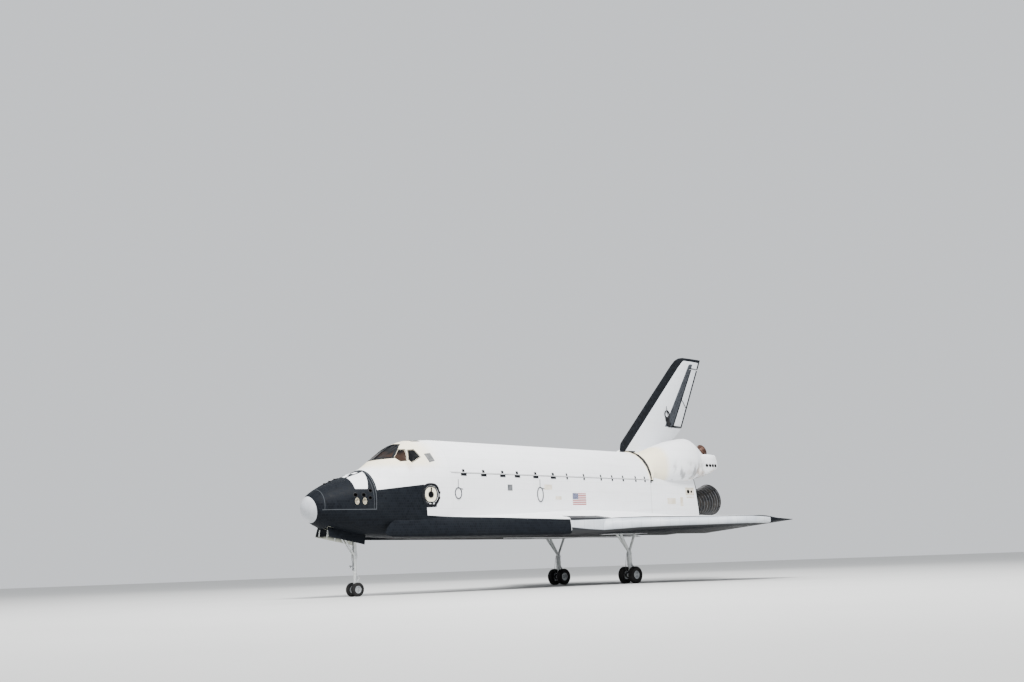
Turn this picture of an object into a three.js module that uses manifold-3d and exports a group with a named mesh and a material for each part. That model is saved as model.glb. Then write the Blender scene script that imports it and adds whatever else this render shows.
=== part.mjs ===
// Winged space shuttle orbiter at full size, level on its landing gear.
// Millimetres. In this file x runs aft from the nose tip, y to starboard and z up from the ground.
// The finished group is moved forward by half the length, so its origin is midway along the ground.
import * as THREE from 'three';
import { mergeVertices } from 'three/addons/utils/BufferGeometryUtils.js';
import Module from 'manifold-3d';

const wasm = await Module();
wasm.setup();

// Driving dimensions
const LENGTH = 37211;
const HALF_SPAN = 11887;
const BELLY_Z = 3302;
const FAR = 40000;

// Gaps: between fixed panels, at a bearing or hinge pin, and round a moving panel
const SEAM = 0.5;
const PIN_GAP = 0.5;
const BEARING_GAP = 0.8;
const CLEAR = 10;

// Stations along the fuselage
const RCS_AFT_X = 3745;
const RCS_BOTTOM_Z = 4930;
const CABIN_FRONT_X = 4700;
const CABIN_AFT_X = 8540;
const BAY_FRONT_X = 8738;
const BAY_AFT_X = 27153;
const CABIN_WALL = 150;
const MID_DECK_Z = 4950;
const FLIGHT_DECK_Z = 7160;

// Payload bay and its doors
const BAY_HALF_WIDTH = 2362;
const BAY_FLOOR_Z = 4267;
const SILL_Z = 7188;
const DOOR_CENTRE_Z = 6706;
const DOOR_INNER_RADIUS = 2537;
const DOOR_HINGE_Y = 2649;
const KNUCKLE_RADIUS = 18;
const KNUCKLE_LENGTH = 150;
const DOOR_HINGE_X = [9826, 13029, 16300, 19500, 22700, 25900];

// Crew hatch on the port side
const HATCH = { x: 7315, z: 5790, radius: 510, hingeY: -2628, hingeZ: 5236, pinRadius: 25 };
const HATCH_LUG = { offset: 135, half: 60, rootY: -2450 };
const HATCH_ARM = { half: 75 - PIN_GAP, lip: 45, rise: 190, footRise: 90, rootY: -2480 };

// Nose gear
const NOSE_WELL = { front: 1380, aft: 3950, halfWidth: 560, roof: 4700 };
const NOSE_DOOR = {
  skin: 55,
  openAngle: 95,
  hingeInset: 10,
  pinRadius: 14,
  reliefRadius: 95,
  reliefExtra: 40,
};
const NOSE_AXLE = { x: 3560, z: 406, radius: 45 };
const NOSE_TYRE = { radius: 406, width: 224, bead: 215, offset: 279 };
const NOSE_LEG = {
  radius: 110,
  bottom: 1450,
  pistonRadius: 85,
  shaftDrop: 150,
  shaftRadius: 85,
  collar: { high: 2500, low: 2200, extra: 35 },
  collarLength: 120,
};
const NOSE_BRACE = {
  x: 1900,
  z: 4480,
  spread: 260,
  footX: 3500,
  footY: 70,
  footZ: 2350,
  radius: 45,
  shaftRadius: 60,
};
const TORQUE_LINK = { near: 40, far: 300, highDrop: 70, midZ: 1020, lowZ: 640, radius: 38 };
const NOSE_HOUSING = { half: 130, wall: 50, boreHalf: 400 };

// Sides of every wheel and tyre, so that they nest, and of the axles and their bores
const WHEEL_SIDES = 16;
const AXLE_SIDES = 24;

// Main gear
const MAIN_WELL = { front: 21300, aft: 25000, inner: 2850, outer: 4300, roof: 4150 };
const MAIN_AXLE = { x: 23600, y: 3454, z: 565, radius: 75 };
const MAIN_TYRE = { radius: 565, width: 406, bead: 270, offset: 457 };
const MAIN_LEG = { radius: 165, pistonRadius: 110, collarZ: 1250, forkZ: 2080, armRadius: 85 };
const MAIN_ARMS = [
  // x of the top, distance of the top from the leg's plane
  [21800, 330],
  [21800, -330],
  [24850, 0],
];
const MAIN_HOUSING = { half: 220, wall: 55, boreHalf: 500 };

// Wing
const GLOVE_START = { x: 5182, y: 2270 };
const GLOVE_END = { x: 19609, y: 4950 };
const WING_TIP_LE_X = 26670;
const WING_TIP_TE_X = 30785;
const WING_ROOT_TE_X = 32400;
const WING_ROOT_Y = 3150;
const BELLY_RISE = 0.0427;
const EDGE_START_X = 17150;
const EDGE_WIDTH = 450;

// Elevons: the hinge line and the trailing edge are straight, and given at the root with their slopes
const HINGE_X = 29185;
const HINGE_LINE = { z: 3640, rise: 0.0265, radius: 335, taper: 0.0253 };
const TRAILING_LINE = { z: 3333, rise: 0.0612 };
const FIXED_TRAILING_Z = 3610;
const ELEVON_END_GAP = 30;
const ELEVONS = [
  // name, inner y, outer y, end that carries the pin
  { name: 'elevon_inboard', inner: 3150, outer: 7900, pinAt: 'inner' },
  { name: 'elevon_outboard', inner: 7940, outer: 11650, pinAt: 'outer' },
];

// Vertical fin and rudder
const FIN_TIP_Z = 17247;
const RUDDER = {
  bottom: { x: 32680, z: 11530 },
  top: { x: 35740, z: 16440 },
  topGap: 110,
  bottomGap: 55,
  coveBottom: 310,
  coveTop: 196,
  coneBottom: 224,
  coneTop: 138,
  pinRadius: 60,
};
const RUDDER_SPLIT = { front: { x: 34126, z: 13850 }, aft: { x: 35400, z: 12722 } };
const FIN_FRONT_X = 27170;

// Engines
const MAIN_ENGINES = [
  // name, gimbal point, upward cant and outward splay in degrees
  { name: 'main_engine_top', x: 30658, y: 0, z: 7772, cant: 16, splay: 0 },
  { name: 'main_engine_port', x: 31242, y: -1346, z: 5222, cant: 10, splay: -3.5 },
  { name: 'main_engine_starboard', x: 31242, y: 1346, z: 5222, cant: 10, splay: 3.5 },
];
const MAIN_MOUNT = { pocket: 940, pocketFlare: 0, depth: 360, axle: 170, axleHalf: 320, lugThick: 120 };
const POD_ENGINE = { x: 32500, y: 2300, z: 9150, cant: 15.8, splay: 6.5 };
const POD_MOUNT = { pocket: 360, pocketFlare: 0.27, depth: 170, axle: 70, axleHalf: 140, lugThick: 60 };

// Body flap
const FLAP = { x: 32868, z: 3810, radius: 330, halfWidth: 3061, tipX: 34925, tipZ: 3740, tipThick: 60 };
const FLAP_LUGS_Y = [-1500, 1500];
const LUG_HALF_WIDTH = 108;
const LUG_RADIUS = 250;

// Finishes
const finish = (color, roughness, metalness = 0) => (
  new THREE.MeshStandardMaterial({ color, roughness, metalness })
);
const WHITE = finish(0xe9eaec, 0.6);
const PALE_GREY = finish(0xc4c6ca, 0.6);
const BLACK_TILE = finish(0x23282f, 0.55);
const GLASS = finish(0x1b1c20, 0.1);
const BELL = finish(0x1e2023, 0.45, 0.5);
const STEEL = finish(0xb4b8bb, 0.4, 0.7);
const RUBBER = finish(0x17181a, 0.85);
const SEAT = finish(0x4a5058, 0.8);
const DARK_GREY = finish(0x4c5056, 0.6);

const shuttle = new THREE.Group();
shuttle.name = 'orbiter';

// Solid from points and triangles, its faces turned outward whichever way they were given
function solidFrom(positions, indices) {
  let volume = 0;
  const corner = (k) => new THREE.Vector3().fromArray(positions, 3 * indices[k]);
  for (let k = 0; k < indices.length; k += 3) {
    volume += corner(k).dot(corner(k + 1).cross(corner(k + 2)));
  }
  const triVerts = [];
  for (let k = 0; k < indices.length; k += 3) {
    const [a, b, c] = [indices[k], indices[k + 1], indices[k + 2]];
    if (a === b || b === c || a === c) continue;
    triVerts.push(a, ...(volume > 0 ? [b, c] : [c, b]));
  }
  return new wasm.Manifold(new wasm.Mesh({
    numProp: 3,
    vertProperties: Float32Array.from(positions),
    triVerts: Uint32Array.from(triVerts),
  }));
}

function solidOf(geometry) {
  geometry.deleteAttribute('normal');
  geometry.deleteAttribute('uv');
  const merged = mergeVertices(geometry, 1e-3);
  return solidFrom(merged.getAttribute('position').array, merged.getIndex().array);
}

function geometryOf(solid) {
  const { vertProperties, triVerts } = solid.getMesh();
  const geometry = new THREE.BufferGeometry();
  geometry.setAttribute('position', new THREE.BufferAttribute(vertProperties, 3));
  geometry.setIndex(new THREE.BufferAttribute(triVerts, 1));
  geometry.computeVertexNormals();
  return geometry;
}

function addPiece(name, solid, material) {
  const mesh = new THREE.Mesh(geometryOf(solid), material);
  mesh.name = name;
  shuttle.add(mesh);
  return mesh;
}

const join = (first, ...others) => others.reduce((sum, other) => sum.add(other), first);
const cut = (first, ...others) => others.reduce((rest, other) => rest.subtract(other), first);

// Closed skin over a row of rings, each a list of points going the same way round
function loft(rings) {
  const count = rings[0].length;
  const positions = rings.flat().flatMap((p) => [p.x, p.y, p.z]);
  const indices = [];
  for (let i = 0; i + 1 < rings.length; i += 1) {
    for (let j = 0; j < count; j += 1) {
      const next = (j + 1) % count;
      const [a, b] = [i * count + j, i * count + next];
      indices.push(a, b, a + count, b, b + count, a + count);
    }
  }
  for (const [ring, reversed] of [[0, true], [rings.length - 1, false]]) {
    const centre = positions.length / 3;
    const middle = rings[ring].reduce((sum, p) => sum.add(p), new THREE.Vector3());
    positions.push(...middle.divideScalar(count).toArray());
    for (let j = 0; j < count; j += 1) {
      const [a, b] = [ring * count + j, ring * count + ((j + 1) % count)];
      indices.push(centre, ...(reversed ? [b, a] : [a, b]));
    }
  }
  return solidFrom(positions, indices);
}

function prism(outline, depth) {
  const shape = new THREE.Shape(outline.map(([a, b]) => new THREE.Vector2(a, b)));
  return new THREE.ExtrudeGeometry(shape, { depth, bevelEnabled: false });
}

// Prisms whose outline lies in the side view (x, z), the plan (x, y) or the front view (y, z)
const sideSlab = (outline, yFrom, yTo) => (
  solidOf(prism(outline, yTo - yFrom).rotateX(Math.PI / 2).translate(0, yTo, 0))
);
const planSlab = (outline, zFrom, zTo) => (
  solidOf(prism(outline, zTo - zFrom).translate(0, 0, zFrom))
);
const FRONT_VIEW = new THREE.Matrix4().makeBasis(
  new THREE.Vector3(0, 1, 0),
  new THREE.Vector3(0, 0, 1),
  new THREE.Vector3(1, 0, 0),
);
const frontSlab = (outline, xFrom, xTo) => (
  solidOf(prism(outline, xTo - xFrom).applyMatrix4(FRONT_VIEW).translate(xFrom, 0, 0))
);

function block(x0, x1, y0, y1, z0, z1) {
  const [yLow, yHigh] = [Math.min(y0, y1), Math.max(y0, y1)];
  return solidOf(new THREE.BoxGeometry(x1 - x0, yHigh - yLow, z1 - z0)
    .translate((x0 + x1) / 2, (yLow + yHigh) / 2, (z0 + z1) / 2));
}

// Round bar or cone between two points
function rod(from, to, radius, endRadius = radius, sides = 12) {
  const start = new THREE.Vector3(...from);
  const along = new THREE.Vector3(...to).sub(start);
  const length = along.length();
  const turn = new THREE.Quaternion().setFromUnitVectors(
    new THREE.Vector3(0, 1, 0),
    along.normalize(),
  );
  return solidOf(new THREE.CylinderGeometry(endRadius, radius, length, sides)
    .translate(0, length / 2, 0)
    .applyQuaternion(turn)
    .translate(start.x, start.y, start.z));
}

// Shape turned about the y axis from a profile of [radius, distance along y]
const turned = (profile, sides) => (
  solidOf(new THREE.LatheGeometry(profile.map(([r, s]) => new THREE.Vector2(r, s)), sides))
);

// Straight-line value of a table's column at a position in its first column
function between(table, position, column) {
  const last = table.length - 1;
  if (position <= table[0][0]) return table[0][column];
  if (position >= table[last][0]) return table[last][column];
  const k = table.findIndex((row) => row[0] >= position);
  const [low, high] = [table[k - 1], table[k]];
  return THREE.MathUtils.mapLinear(position, low[0], high[0], low[column], high[column]);
}

// Fuselage
const RING_POINTS = 36;
const CABIN_POINTS = 20;
const HULL_SECTIONS = [
  // x, half width, z of the widest place, z top, z bottom, roundness power above and below
  [0, 60, 5090, 5150, 5030, 2, 2],
  [14, 165, 5090, 5250, 4960, 2, 2],
  [60, 320, 5090, 5400, 4800, 2, 2],
  [305, 700, 5100, 5740, 4470, 2, 2],
  [560, 930, 5120, 5960, 4270, 2, 2],
  [900, 1140, 5150, 6180, 4080, 2, 2],
  [1400, 1370, 5200, 6440, 3890, 2, 2.2],
  [2083, 1590, 5270, 6730, 3768, 2, 2.6],
  [2845, 1790, 5340, 7000, 3636, 2, 2.9],
  [3556, 1960, 5400, 7230, 3520, 2, 3.1],
  [4300, 2110, 5550, 7560, 3460, 2, 3.3],
  [4801, 2200, 5680, 7920, 3430, 2, 3.5],
  [5639, 2345, 5850, 8560, 3390, 2.1, 4],
  [6147, 2420, 6000, 8890, 3370, 2.1, 4.4],
  [6655, 2490, 6150, 9110, 3355, 2.1, 4.8],
  [7163, 2545, 6300, 9250, 3340, 2.1, 5.2],
  [8738, 2667, 6706, 9373, 3302, 2, 6],
  [27153, 2667, 6706, 9373, 3302, 2, 6],
  [28500, 2700, 6706, 9373, 3350, 2, 6],
  [30000, 2790, 6700, 9290, 3440, 2.1, 6],
  [31500, 2880, 6690, 9150, 3560, 2.2, 6],
  [32900, 2930, 6680, 8950, 3680, 2.3, 6],
];

function hullRing([x, halfWidth, zWide, zTop, zBottom, above, below], inset, points) {
  const ring = [];
  for (let k = 0; k < points; k += 1) {
    const angle = (2 * Math.PI * k) / points;
    const [c, s] = [Math.cos(angle), Math.sin(angle)];
    const power = s >= 0 ? above : below;
    const height = s >= 0 ? zTop - zWide : zWide - zBottom;
    const y = (halfWidth - inset) * Math.sign(c) * Math.abs(c) ** (2 / power);
    const z = zWide + (height - inset) * Math.sign(s) * Math.abs(s) ** (2 / power);
    ring.push(new THREE.Vector3(x, y, z));
  }
  return ring;
}

function hullBetween(xFrom, xTo, inset, points = RING_POINTS) {
  const rows = HULL_SECTIONS.filter((row) => row[0] >= xFrom && row[0] <= xTo);
  return loft(rows.map((row) => hullRing(row, inset, points)));
}
const cabinShape = (inset) => hullBetween(4300, 8738, inset, CABIN_POINTS);

const hull = hullBetween(0, FAR, 0);
const hullForCutting = hullBetween(0, FAR, -SEAM);

// Nose cap in front of a leaning joint, and the thruster module behind it
const CAP_JOINT = { top: { x: 330, z: 5900 }, bottom: { x: 1090, z: 3950 } };
const CAP_LEAN = (CAP_JOINT.bottom.x - CAP_JOINT.top.x) / (CAP_JOINT.top.z - CAP_JOINT.bottom.z);
const capX = (z) => CAP_JOINT.bottom.x - CAP_LEAN * (z - CAP_JOINT.bottom.z);
const NOSE_LOW_Z = 3000;
const NOSE_HIGH_Z = 8000;
const NOSE_REACH = 3000;

function capRegion(grow) {
  return sideSlab([
    [-NOSE_REACH, NOSE_LOW_Z],
    [capX(NOSE_LOW_Z) + grow, NOSE_LOW_Z],
    [capX(NOSE_HIGH_Z) + grow, NOSE_HIGH_Z],
    [-NOSE_REACH, NOSE_HIGH_Z],
  ], -NOSE_REACH, NOSE_REACH);
}

const moduleRegion = (grow) => (
  block(-NOSE_REACH, RCS_AFT_X + grow, -NOSE_REACH, NOSE_REACH, RCS_BOTTOM_Z - grow, NOSE_HIGH_Z)
);

// Thruster openings: six on each side in two rows, three on top, as blind holes
const THRUSTER_HOLES = [
  // x, z, radius
  [2541, 5746, 110],
  [3014, 5746, 110],
  [2598, 5428, 110],
  [3049, 5428, 110],
  [3440, 5996, 95],
  [3380, 5580, 95],
];
const THRUSTER_DEPTH = 350;
const TOP_THRUSTERS_X = [1500, 1850, 2200];

function thrusterHoles() {
  const holes = [];
  for (const side of [-1, 1]) {
    for (const [x, z, radius] of THRUSTER_HOLES) {
      const zWide = between(HULL_SECTIONS, x, 2);
      const rise = (z - zWide) / (between(HULL_SECTIONS, x, 3) - zWide);
      const y = between(HULL_SECTIONS, x, 1) * Math.sqrt(1 - rise ** 2);
      holes.push(rod([x, side * (y - THRUSTER_DEPTH), z], [x, side * NOSE_REACH, z], radius, radius, 8));
    }
  }
  for (const x of TOP_THRUSTERS_X) {
    const z = between(HULL_SECTIONS, x, 3) - THRUSTER_DEPTH;
    holes.push(rod([x, 0, z], [x, 0, NOSE_HIGH_Z], 105, 105, 8));
  }
  return holes;
}

addPiece('nose_cap', hull.intersect(capRegion(0)), PALE_GREY);
addPiece('forward_thruster_module', cut(
  hull.intersect(moduleRegion(-SEAM)),
  capRegion(SEAM),
  ...thrusterHoles(),
), BLACK_TILE);

// Windows on the port side. Front pane corners are (y, z), side pane corners are (x, z).
const FRONT_PANE = [[-50, 8040], [-1196, 8074], [-861, 8642], [-585, 8880], [-50, 8930]];
const SIDE_PANES = [
  [[6045, 8560], [6328, 8547], [6060, 7841], [5703, 7814], [5547, 8073]],
  [[6441, 8503], [6803, 8543], [6945, 8076], [6334, 7740], [6187, 7898]],
];
const PANE_OUTER_Y = 2700;
const PANE_INNER_Y = 900;
const GLASS_THICK = 45;
const FRONT_PANE_REACH = { front: 4500, aft: 6700 };
const OVERHEAD_WINDOW = { front: 7350, aft: 7850, inner: 200, outer: 720, low: 8900, high: 9700 };
const AFT_WINDOW = { inner: 250, outer: 620, low: 8250, high: 8620, reach: 50 };
const WINDSHIELD = { aft: 7100, low: 7600 };
const GLASS_MARGIN = { overhead: 100, overheadSide: 130, aft: 140, aftLow: 100, aftHigh: 80 };

function windowCuts() {
  const cuts = [];
  for (const side of [-1, 1]) {
    const front = FRONT_PANE.map(([y, z]) => [-side * y, z]);
    cuts.push(frontSlab(front, FRONT_PANE_REACH.front, FRONT_PANE_REACH.aft));
    for (const pane of SIDE_PANES) {
      const [near, far] = [side * PANE_INNER_Y, side * PANE_OUTER_Y];
      cuts.push(sideSlab(pane, Math.min(near, far), Math.max(near, far)));
    }
    const over = OVERHEAD_WINDOW;
    cuts.push(block(over.front, over.aft, side * over.inner, side * over.outer, over.low, over.high));
    const aft = AFT_WINDOW;
    const [start, end] = [CABIN_AFT_X - aft.reach, BAY_FRONT_X + aft.reach];
    cuts.push(block(start, end, side * aft.inner, side * aft.outer, aft.low, aft.high));
  }
  return cuts;
}

// Room inside the crew cabin, and the parts that line it
const cabinBox = (floor, gap) => (
  block(CABIN_FRONT_X + gap, CABIN_AFT_X - gap, -NOSE_REACH, NOSE_REACH, floor, 10000)
);
const cabinRoom = cabinShape(CABIN_WALL).intersect(cabinBox(MID_DECK_Z, 0));

function cabinLining(front, aft, halfWidth, floor) {
  const outer = cabinShape(CABIN_WALL + SEAM);
  const inner = cabinShape(CABIN_WALL + SEAM + GLASS_THICK);
  return cut(outer, inner).intersect(block(front, aft, -halfWidth, halfWidth, floor, 10000));
}

const hatchHole = (radius) => (
  rod([HATCH.x, -NOSE_REACH, HATCH.z], [HATCH.x, -1800, HATCH.z], radius, radius, 24)
);

// Nose wheel well and its hinge lines, which follow the rising belly
const wellEdgeZ = (x) => {
  const [halfWidth, zWide, zBottom, below] = [1, 2, 4, 6].map((c) => between(HULL_SECTIONS, x, c));
  const share = (1 - (NOSE_WELL.halfWidth / halfWidth) ** below) ** (1 / below);
  return zWide - (zWide - zBottom) * share;
};
const noseHinge = (side) => [NOSE_WELL.front, NOSE_WELL.aft].map((x) => (
  new THREE.Vector3(x, side * NOSE_WELL.halfWidth, wellEdgeZ(x) + NOSE_DOOR.hingeInset)
));

// The hinge line runs a little way into both end walls of the well
function noseHingeRod(side, radius, extra) {
  const [front, aft] = noseHinge(side);
  const along = aft.clone().sub(front).setLength(extra);
  return rod(front.clone().sub(along).toArray(), aft.clone().add(along).toArray(), radius);
}

function forwardFuselage() {
  const { pinRadius, hingeY, hingeZ } = HATCH;
  const { offset, half, rootY } = HATCH_LUG;
  const lugs = [HATCH.x - offset, HATCH.x + offset].map((x) => join(
    rod([x - half, hingeY, hingeZ], [x + half, hingeY, hingeZ], pinRadius),
    block(x - half, x + half, hingeY, rootY, hingeZ - pinRadius, hingeZ),
  ));
  const well = block(
    NOSE_WELL.front,
    NOSE_WELL.aft,
    -NOSE_WELL.halfWidth,
    NOSE_WELL.halfWidth,
    NOSE_LOW_Z,
    NOSE_WELL.roof,
  );
  const shell = cut(
    hull.intersect(block(-NOSE_REACH, BAY_FRONT_X, -NOSE_REACH, NOSE_REACH, 0, 10000)),
    capRegion(SEAM),
    moduleRegion(0),
    cabinRoom,
    well,
    noseHingeRod(-1, NOSE_DOOR.reliefRadius, NOSE_DOOR.reliefExtra),
    noseHingeRod(1, NOSE_DOOR.reliefRadius, NOSE_DOOR.reliefExtra),
    hatchHole(HATCH.radius + CLEAR),
    ...windowCuts(),
  );
  return join(shell, ...lugs);
}

addPiece('forward_fuselage', forwardFuselage(), WHITE);
addPiece('windshield_glass', cabinLining(
  CABIN_FRONT_X + SEAM,
  WINDSHIELD.aft,
  NOSE_REACH,
  WINDSHIELD.low,
), GLASS);
addPiece('overhead_glass', cabinLining(
  OVERHEAD_WINDOW.front - GLASS_MARGIN.overhead,
  OVERHEAD_WINDOW.aft + GLASS_MARGIN.overhead,
  OVERHEAD_WINDOW.outer + GLASS_MARGIN.overheadSide,
  OVERHEAD_WINDOW.low,
), GLASS);
addPiece('aft_window_glass', block(
  CABIN_AFT_X - SEAM - GLASS_THICK,
  CABIN_AFT_X - SEAM,
  -AFT_WINDOW.outer - GLASS_MARGIN.aft,
  AFT_WINDOW.outer + GLASS_MARGIN.aft,
  AFT_WINDOW.low - GLASS_MARGIN.aftLow,
  AFT_WINDOW.high + GLASS_MARGIN.aftHigh,
), GLASS);

// Flight deck floor with its four seats and the console under the windshield
const SEATS = [
  // x, y
  [5900, -560],
  [5900, 560],
  [7300, -560],
  [7300, 560],
];
const SEAT_BLOCKS = [
  // x from, x to, half width, low and high above the deck: pedestal, cushion, back
  [-200, 200, 180, -10, 330],
  [-260, 260, 240, 320, 430],
  [170, 270, 230, 420, 1050],
];
const CONSOLE_HALF_WIDTH = 900;
const CONSOLE_OUTLINE = [
  // x, height above the deck
  [5150, -10],
  [5450, -10],
  [5450, 380],
  [5330, 560],
  [5150, 420],
];
const FLOOR_THICK = 90;

const seat = (x, y) => join(...SEAT_BLOCKS.map(([from, to, half, low, high]) => (
  block(x + from, x + to, y - half, y + half, FLIGHT_DECK_Z + low, FLIGHT_DECK_Z + high)
)));

function flightDeck() {
  const room = cabinShape(CABIN_WALL + SEAM).intersect(cabinBox(MID_DECK_Z, SEAM));
  const plate = room.intersect(block(
    CABIN_FRONT_X,
    CABIN_AFT_X,
    -NOSE_REACH,
    NOSE_REACH,
    FLIGHT_DECK_Z - FLOOR_THICK,
    FLIGHT_DECK_Z,
  ));
  const console = sideSlab(
    CONSOLE_OUTLINE.map(([x, height]) => [x, FLIGHT_DECK_Z + height]),
    -CONSOLE_HALF_WIDTH,
    CONSOLE_HALF_WIDTH,
  );
  return join(plate, console, ...SEATS.map(([x, y]) => seat(x, y)));
}

addPiece('flight_deck', flightDeck(), SEAT);

// Side hatch, a plug of the fuselage wall with its hinge arm
function crewHatch() {
  const { x, hingeY, hingeZ, pinRadius } = HATCH;
  const wall = cut(
    hull.intersect(hatchHole(HATCH.radius)),
    cabinShape(CABIN_WALL),
  );
  const { half, lip, rise, footRise, rootY } = HATCH_ARM;
  return join(
    wall,
    rod([x - half, hingeY, hingeZ], [x + half, hingeY, hingeZ], pinRadius),
    block(x - half, x + half, hingeY - pinRadius, hingeY + lip, hingeZ, hingeZ + rise),
    block(x - half, x + half, hingeY, rootY, hingeZ + footRise, hingeZ + rise),
  );
}

addPiece('crew_hatch', crewHatch(), WHITE);

// Middle fuselage: an open trough with hinge lugs along both sills
const doorKnuckle = (x, side) => (
  rod([x, side * DOOR_HINGE_Y, SILL_Z], [x + KNUCKLE_LENGTH, side * DOOR_HINGE_Y, SILL_Z], KNUCKLE_RADIUS,
    KNUCKLE_RADIUS, 8)
);
const LUG_ROOT_Y = 2560;

function sillLug(x, side) {
  return join(
    doorKnuckle(x, side),
    block(x, x + KNUCKLE_LENGTH, side * LUG_ROOT_Y, side * (DOOR_HINGE_Y + 6), SILL_Z - 38, SILL_Z - 5),
  );
}

function doorLug(x, side) {
  return join(
    doorKnuckle(x, side),
    block(x, x + KNUCKLE_LENGTH, side * LUG_ROOT_Y, side * (DOOR_HINGE_Y + 6), SILL_Z + 2, SILL_Z + 42),
  );
}

function midFuselage() {
  const body = hull.intersect(
    block(BAY_FRONT_X + SEAM, BAY_AFT_X - SEAM, -NOSE_REACH, NOSE_REACH, 0, SILL_Z - CLEAR),
  );
  const bay = block(BAY_FRONT_X - 10, BAY_AFT_X + 10, -BAY_HALF_WIDTH, BAY_HALF_WIDTH, BAY_FLOOR_Z, FAR);
  const lugs = [-1, 1].flatMap((side) => DOOR_HINGE_X.map((x) => sillLug(x, side)));
  return join(cut(body, bay), ...lugs);
}

function payloadDoor(side) {
  const shell = cut(
    hull.intersect(block(
      BAY_FRONT_X + CLEAR,
      BAY_AFT_X - CLEAR,
      side * (CLEAR / 2),
      side * NOSE_REACH,
      SILL_Z + CLEAR,
      FAR,
    )),
    rod(
      [BAY_FRONT_X, 0, DOOR_CENTRE_Z],
      [BAY_AFT_X, 0, DOOR_CENTRE_Z],
      DOOR_INNER_RADIUS,
      DOOR_INNER_RADIUS,
      40,
    ),
  );
  const step = KNUCKLE_LENGTH + PIN_GAP;
  return join(shell, ...DOOR_HINGE_X.map((x) => doorLug(x + step, side)));
}

addPiece('mid_fuselage', midFuselage(), WHITE);
addPiece('payload_door_left', payloadDoor(-1), WHITE);
addPiece('payload_door_right', payloadDoor(1), WHITE);

// Direction in which an engine points, from its cant and splay
function aim({ cant, splay }) {
  const [up, out] = [THREE.MathUtils.degToRad(cant), THREE.MathUtils.degToRad(splay)];
  return new THREE.Vector3(Math.cos(up) * Math.cos(out), Math.cos(up) * Math.sin(out), Math.sin(up));
}

// Point at a distance along an engine's axis from its gimbal
function alongEngine(engine, distance) {
  return aim(engine).multiplyScalar(distance).add(new THREE.Vector3(engine.x, engine.y, engine.z)).toArray();
}

const POCKET_REACH = 3000;
const enginePocket = (engine, mount) => rod(
  alongEngine(engine, -mount.depth),
  alongEngine(engine, POCKET_REACH),
  mount.pocket,
  mount.pocket + mount.pocketFlare * (POCKET_REACH + mount.depth),
  28,
);

// Two lugs that stand out of a pocket's floor and hold the ends of the pitch axle
function engineLugs(engine, mount) {
  const { x, y, z } = engine;
  return [-1, 1].map((side) => {
    const inner = y + side * (mount.axleHalf + PIN_GAP);
    const outer = inner + side * mount.lugThick;
    return join(
      rod([x, inner, z], [x, outer, z], mount.axle),
      block(x - 1.5 * mount.depth, x, inner, outer, z - mount.axle, z + mount.axle),
    );
  });
}

// Aft fuselage up to the slanted base, with a shelf that carries the body flap
const BASE_OUTLINE = [
  // x, z
  [31500, 9500],
  [32300, 4700],
  [32750, 4300],
  [32750, 3000],
  [33500, 3000],
  [33500, 9500],
];

const flapAxisRod = (radius, halfWidth, centre = 0) => (
  rod([FLAP.x, centre - halfWidth, FLAP.z], [FLAP.x, centre + halfWidth, FLAP.z], radius, radius, 24)
);

function flapLug(y) {
  const half = LUG_HALF_WIDTH - PIN_GAP;
  return join(
    flapAxisRod(LUG_RADIUS, half, y),
    block(32300, FLAP.x, y - half, y + half, FLAP.z - 150, FLAP.z + 150),
  );
}

function aftFuselage() {
  const body = cut(
    hull.intersect(block(BAY_AFT_X, FAR, -NOSE_REACH, NOSE_REACH, 0, FAR)),
    sideSlab(BASE_OUTLINE, -NOSE_REACH, NOSE_REACH),
    flapAxisRod(FLAP.radius + CLEAR, NOSE_REACH + 200),
    ...MAIN_ENGINES.map((engine) => enginePocket(engine, MAIN_MOUNT)),
  );
  const lugs = MAIN_ENGINES.flatMap((engine) => engineLugs(engine, MAIN_MOUNT));
  return join(body, ...FLAP_LUGS_Y.map(flapLug), ...lugs);
}

addPiece('aft_fuselage', aftFuselage(), WHITE);

function bodyFlap() {
  const { x, z, radius, tipX, tipZ, tipThick, halfWidth } = FLAP;
  const blade = sideSlab([
    [x, z + radius],
    [tipX, tipZ + tipThick / 2],
    [tipX, tipZ - tipThick / 2],
    [x, z - radius],
  ], -halfWidth, halfWidth);
  const slots = FLAP_LUGS_Y.flatMap((y) => [
    flapAxisRod(LUG_RADIUS + CLEAR, LUG_HALF_WIDTH, y),
    block(x - radius - CLEAR, x, y - LUG_HALF_WIDTH, y + LUG_HALF_WIDTH, z - 400, z + 400),
  ]);
  return cut(join(flapAxisRod(radius, halfWidth), blade), ...slots);
}

addPiece('body_flap', bodyFlap(), BLACK_TILE);

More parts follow.
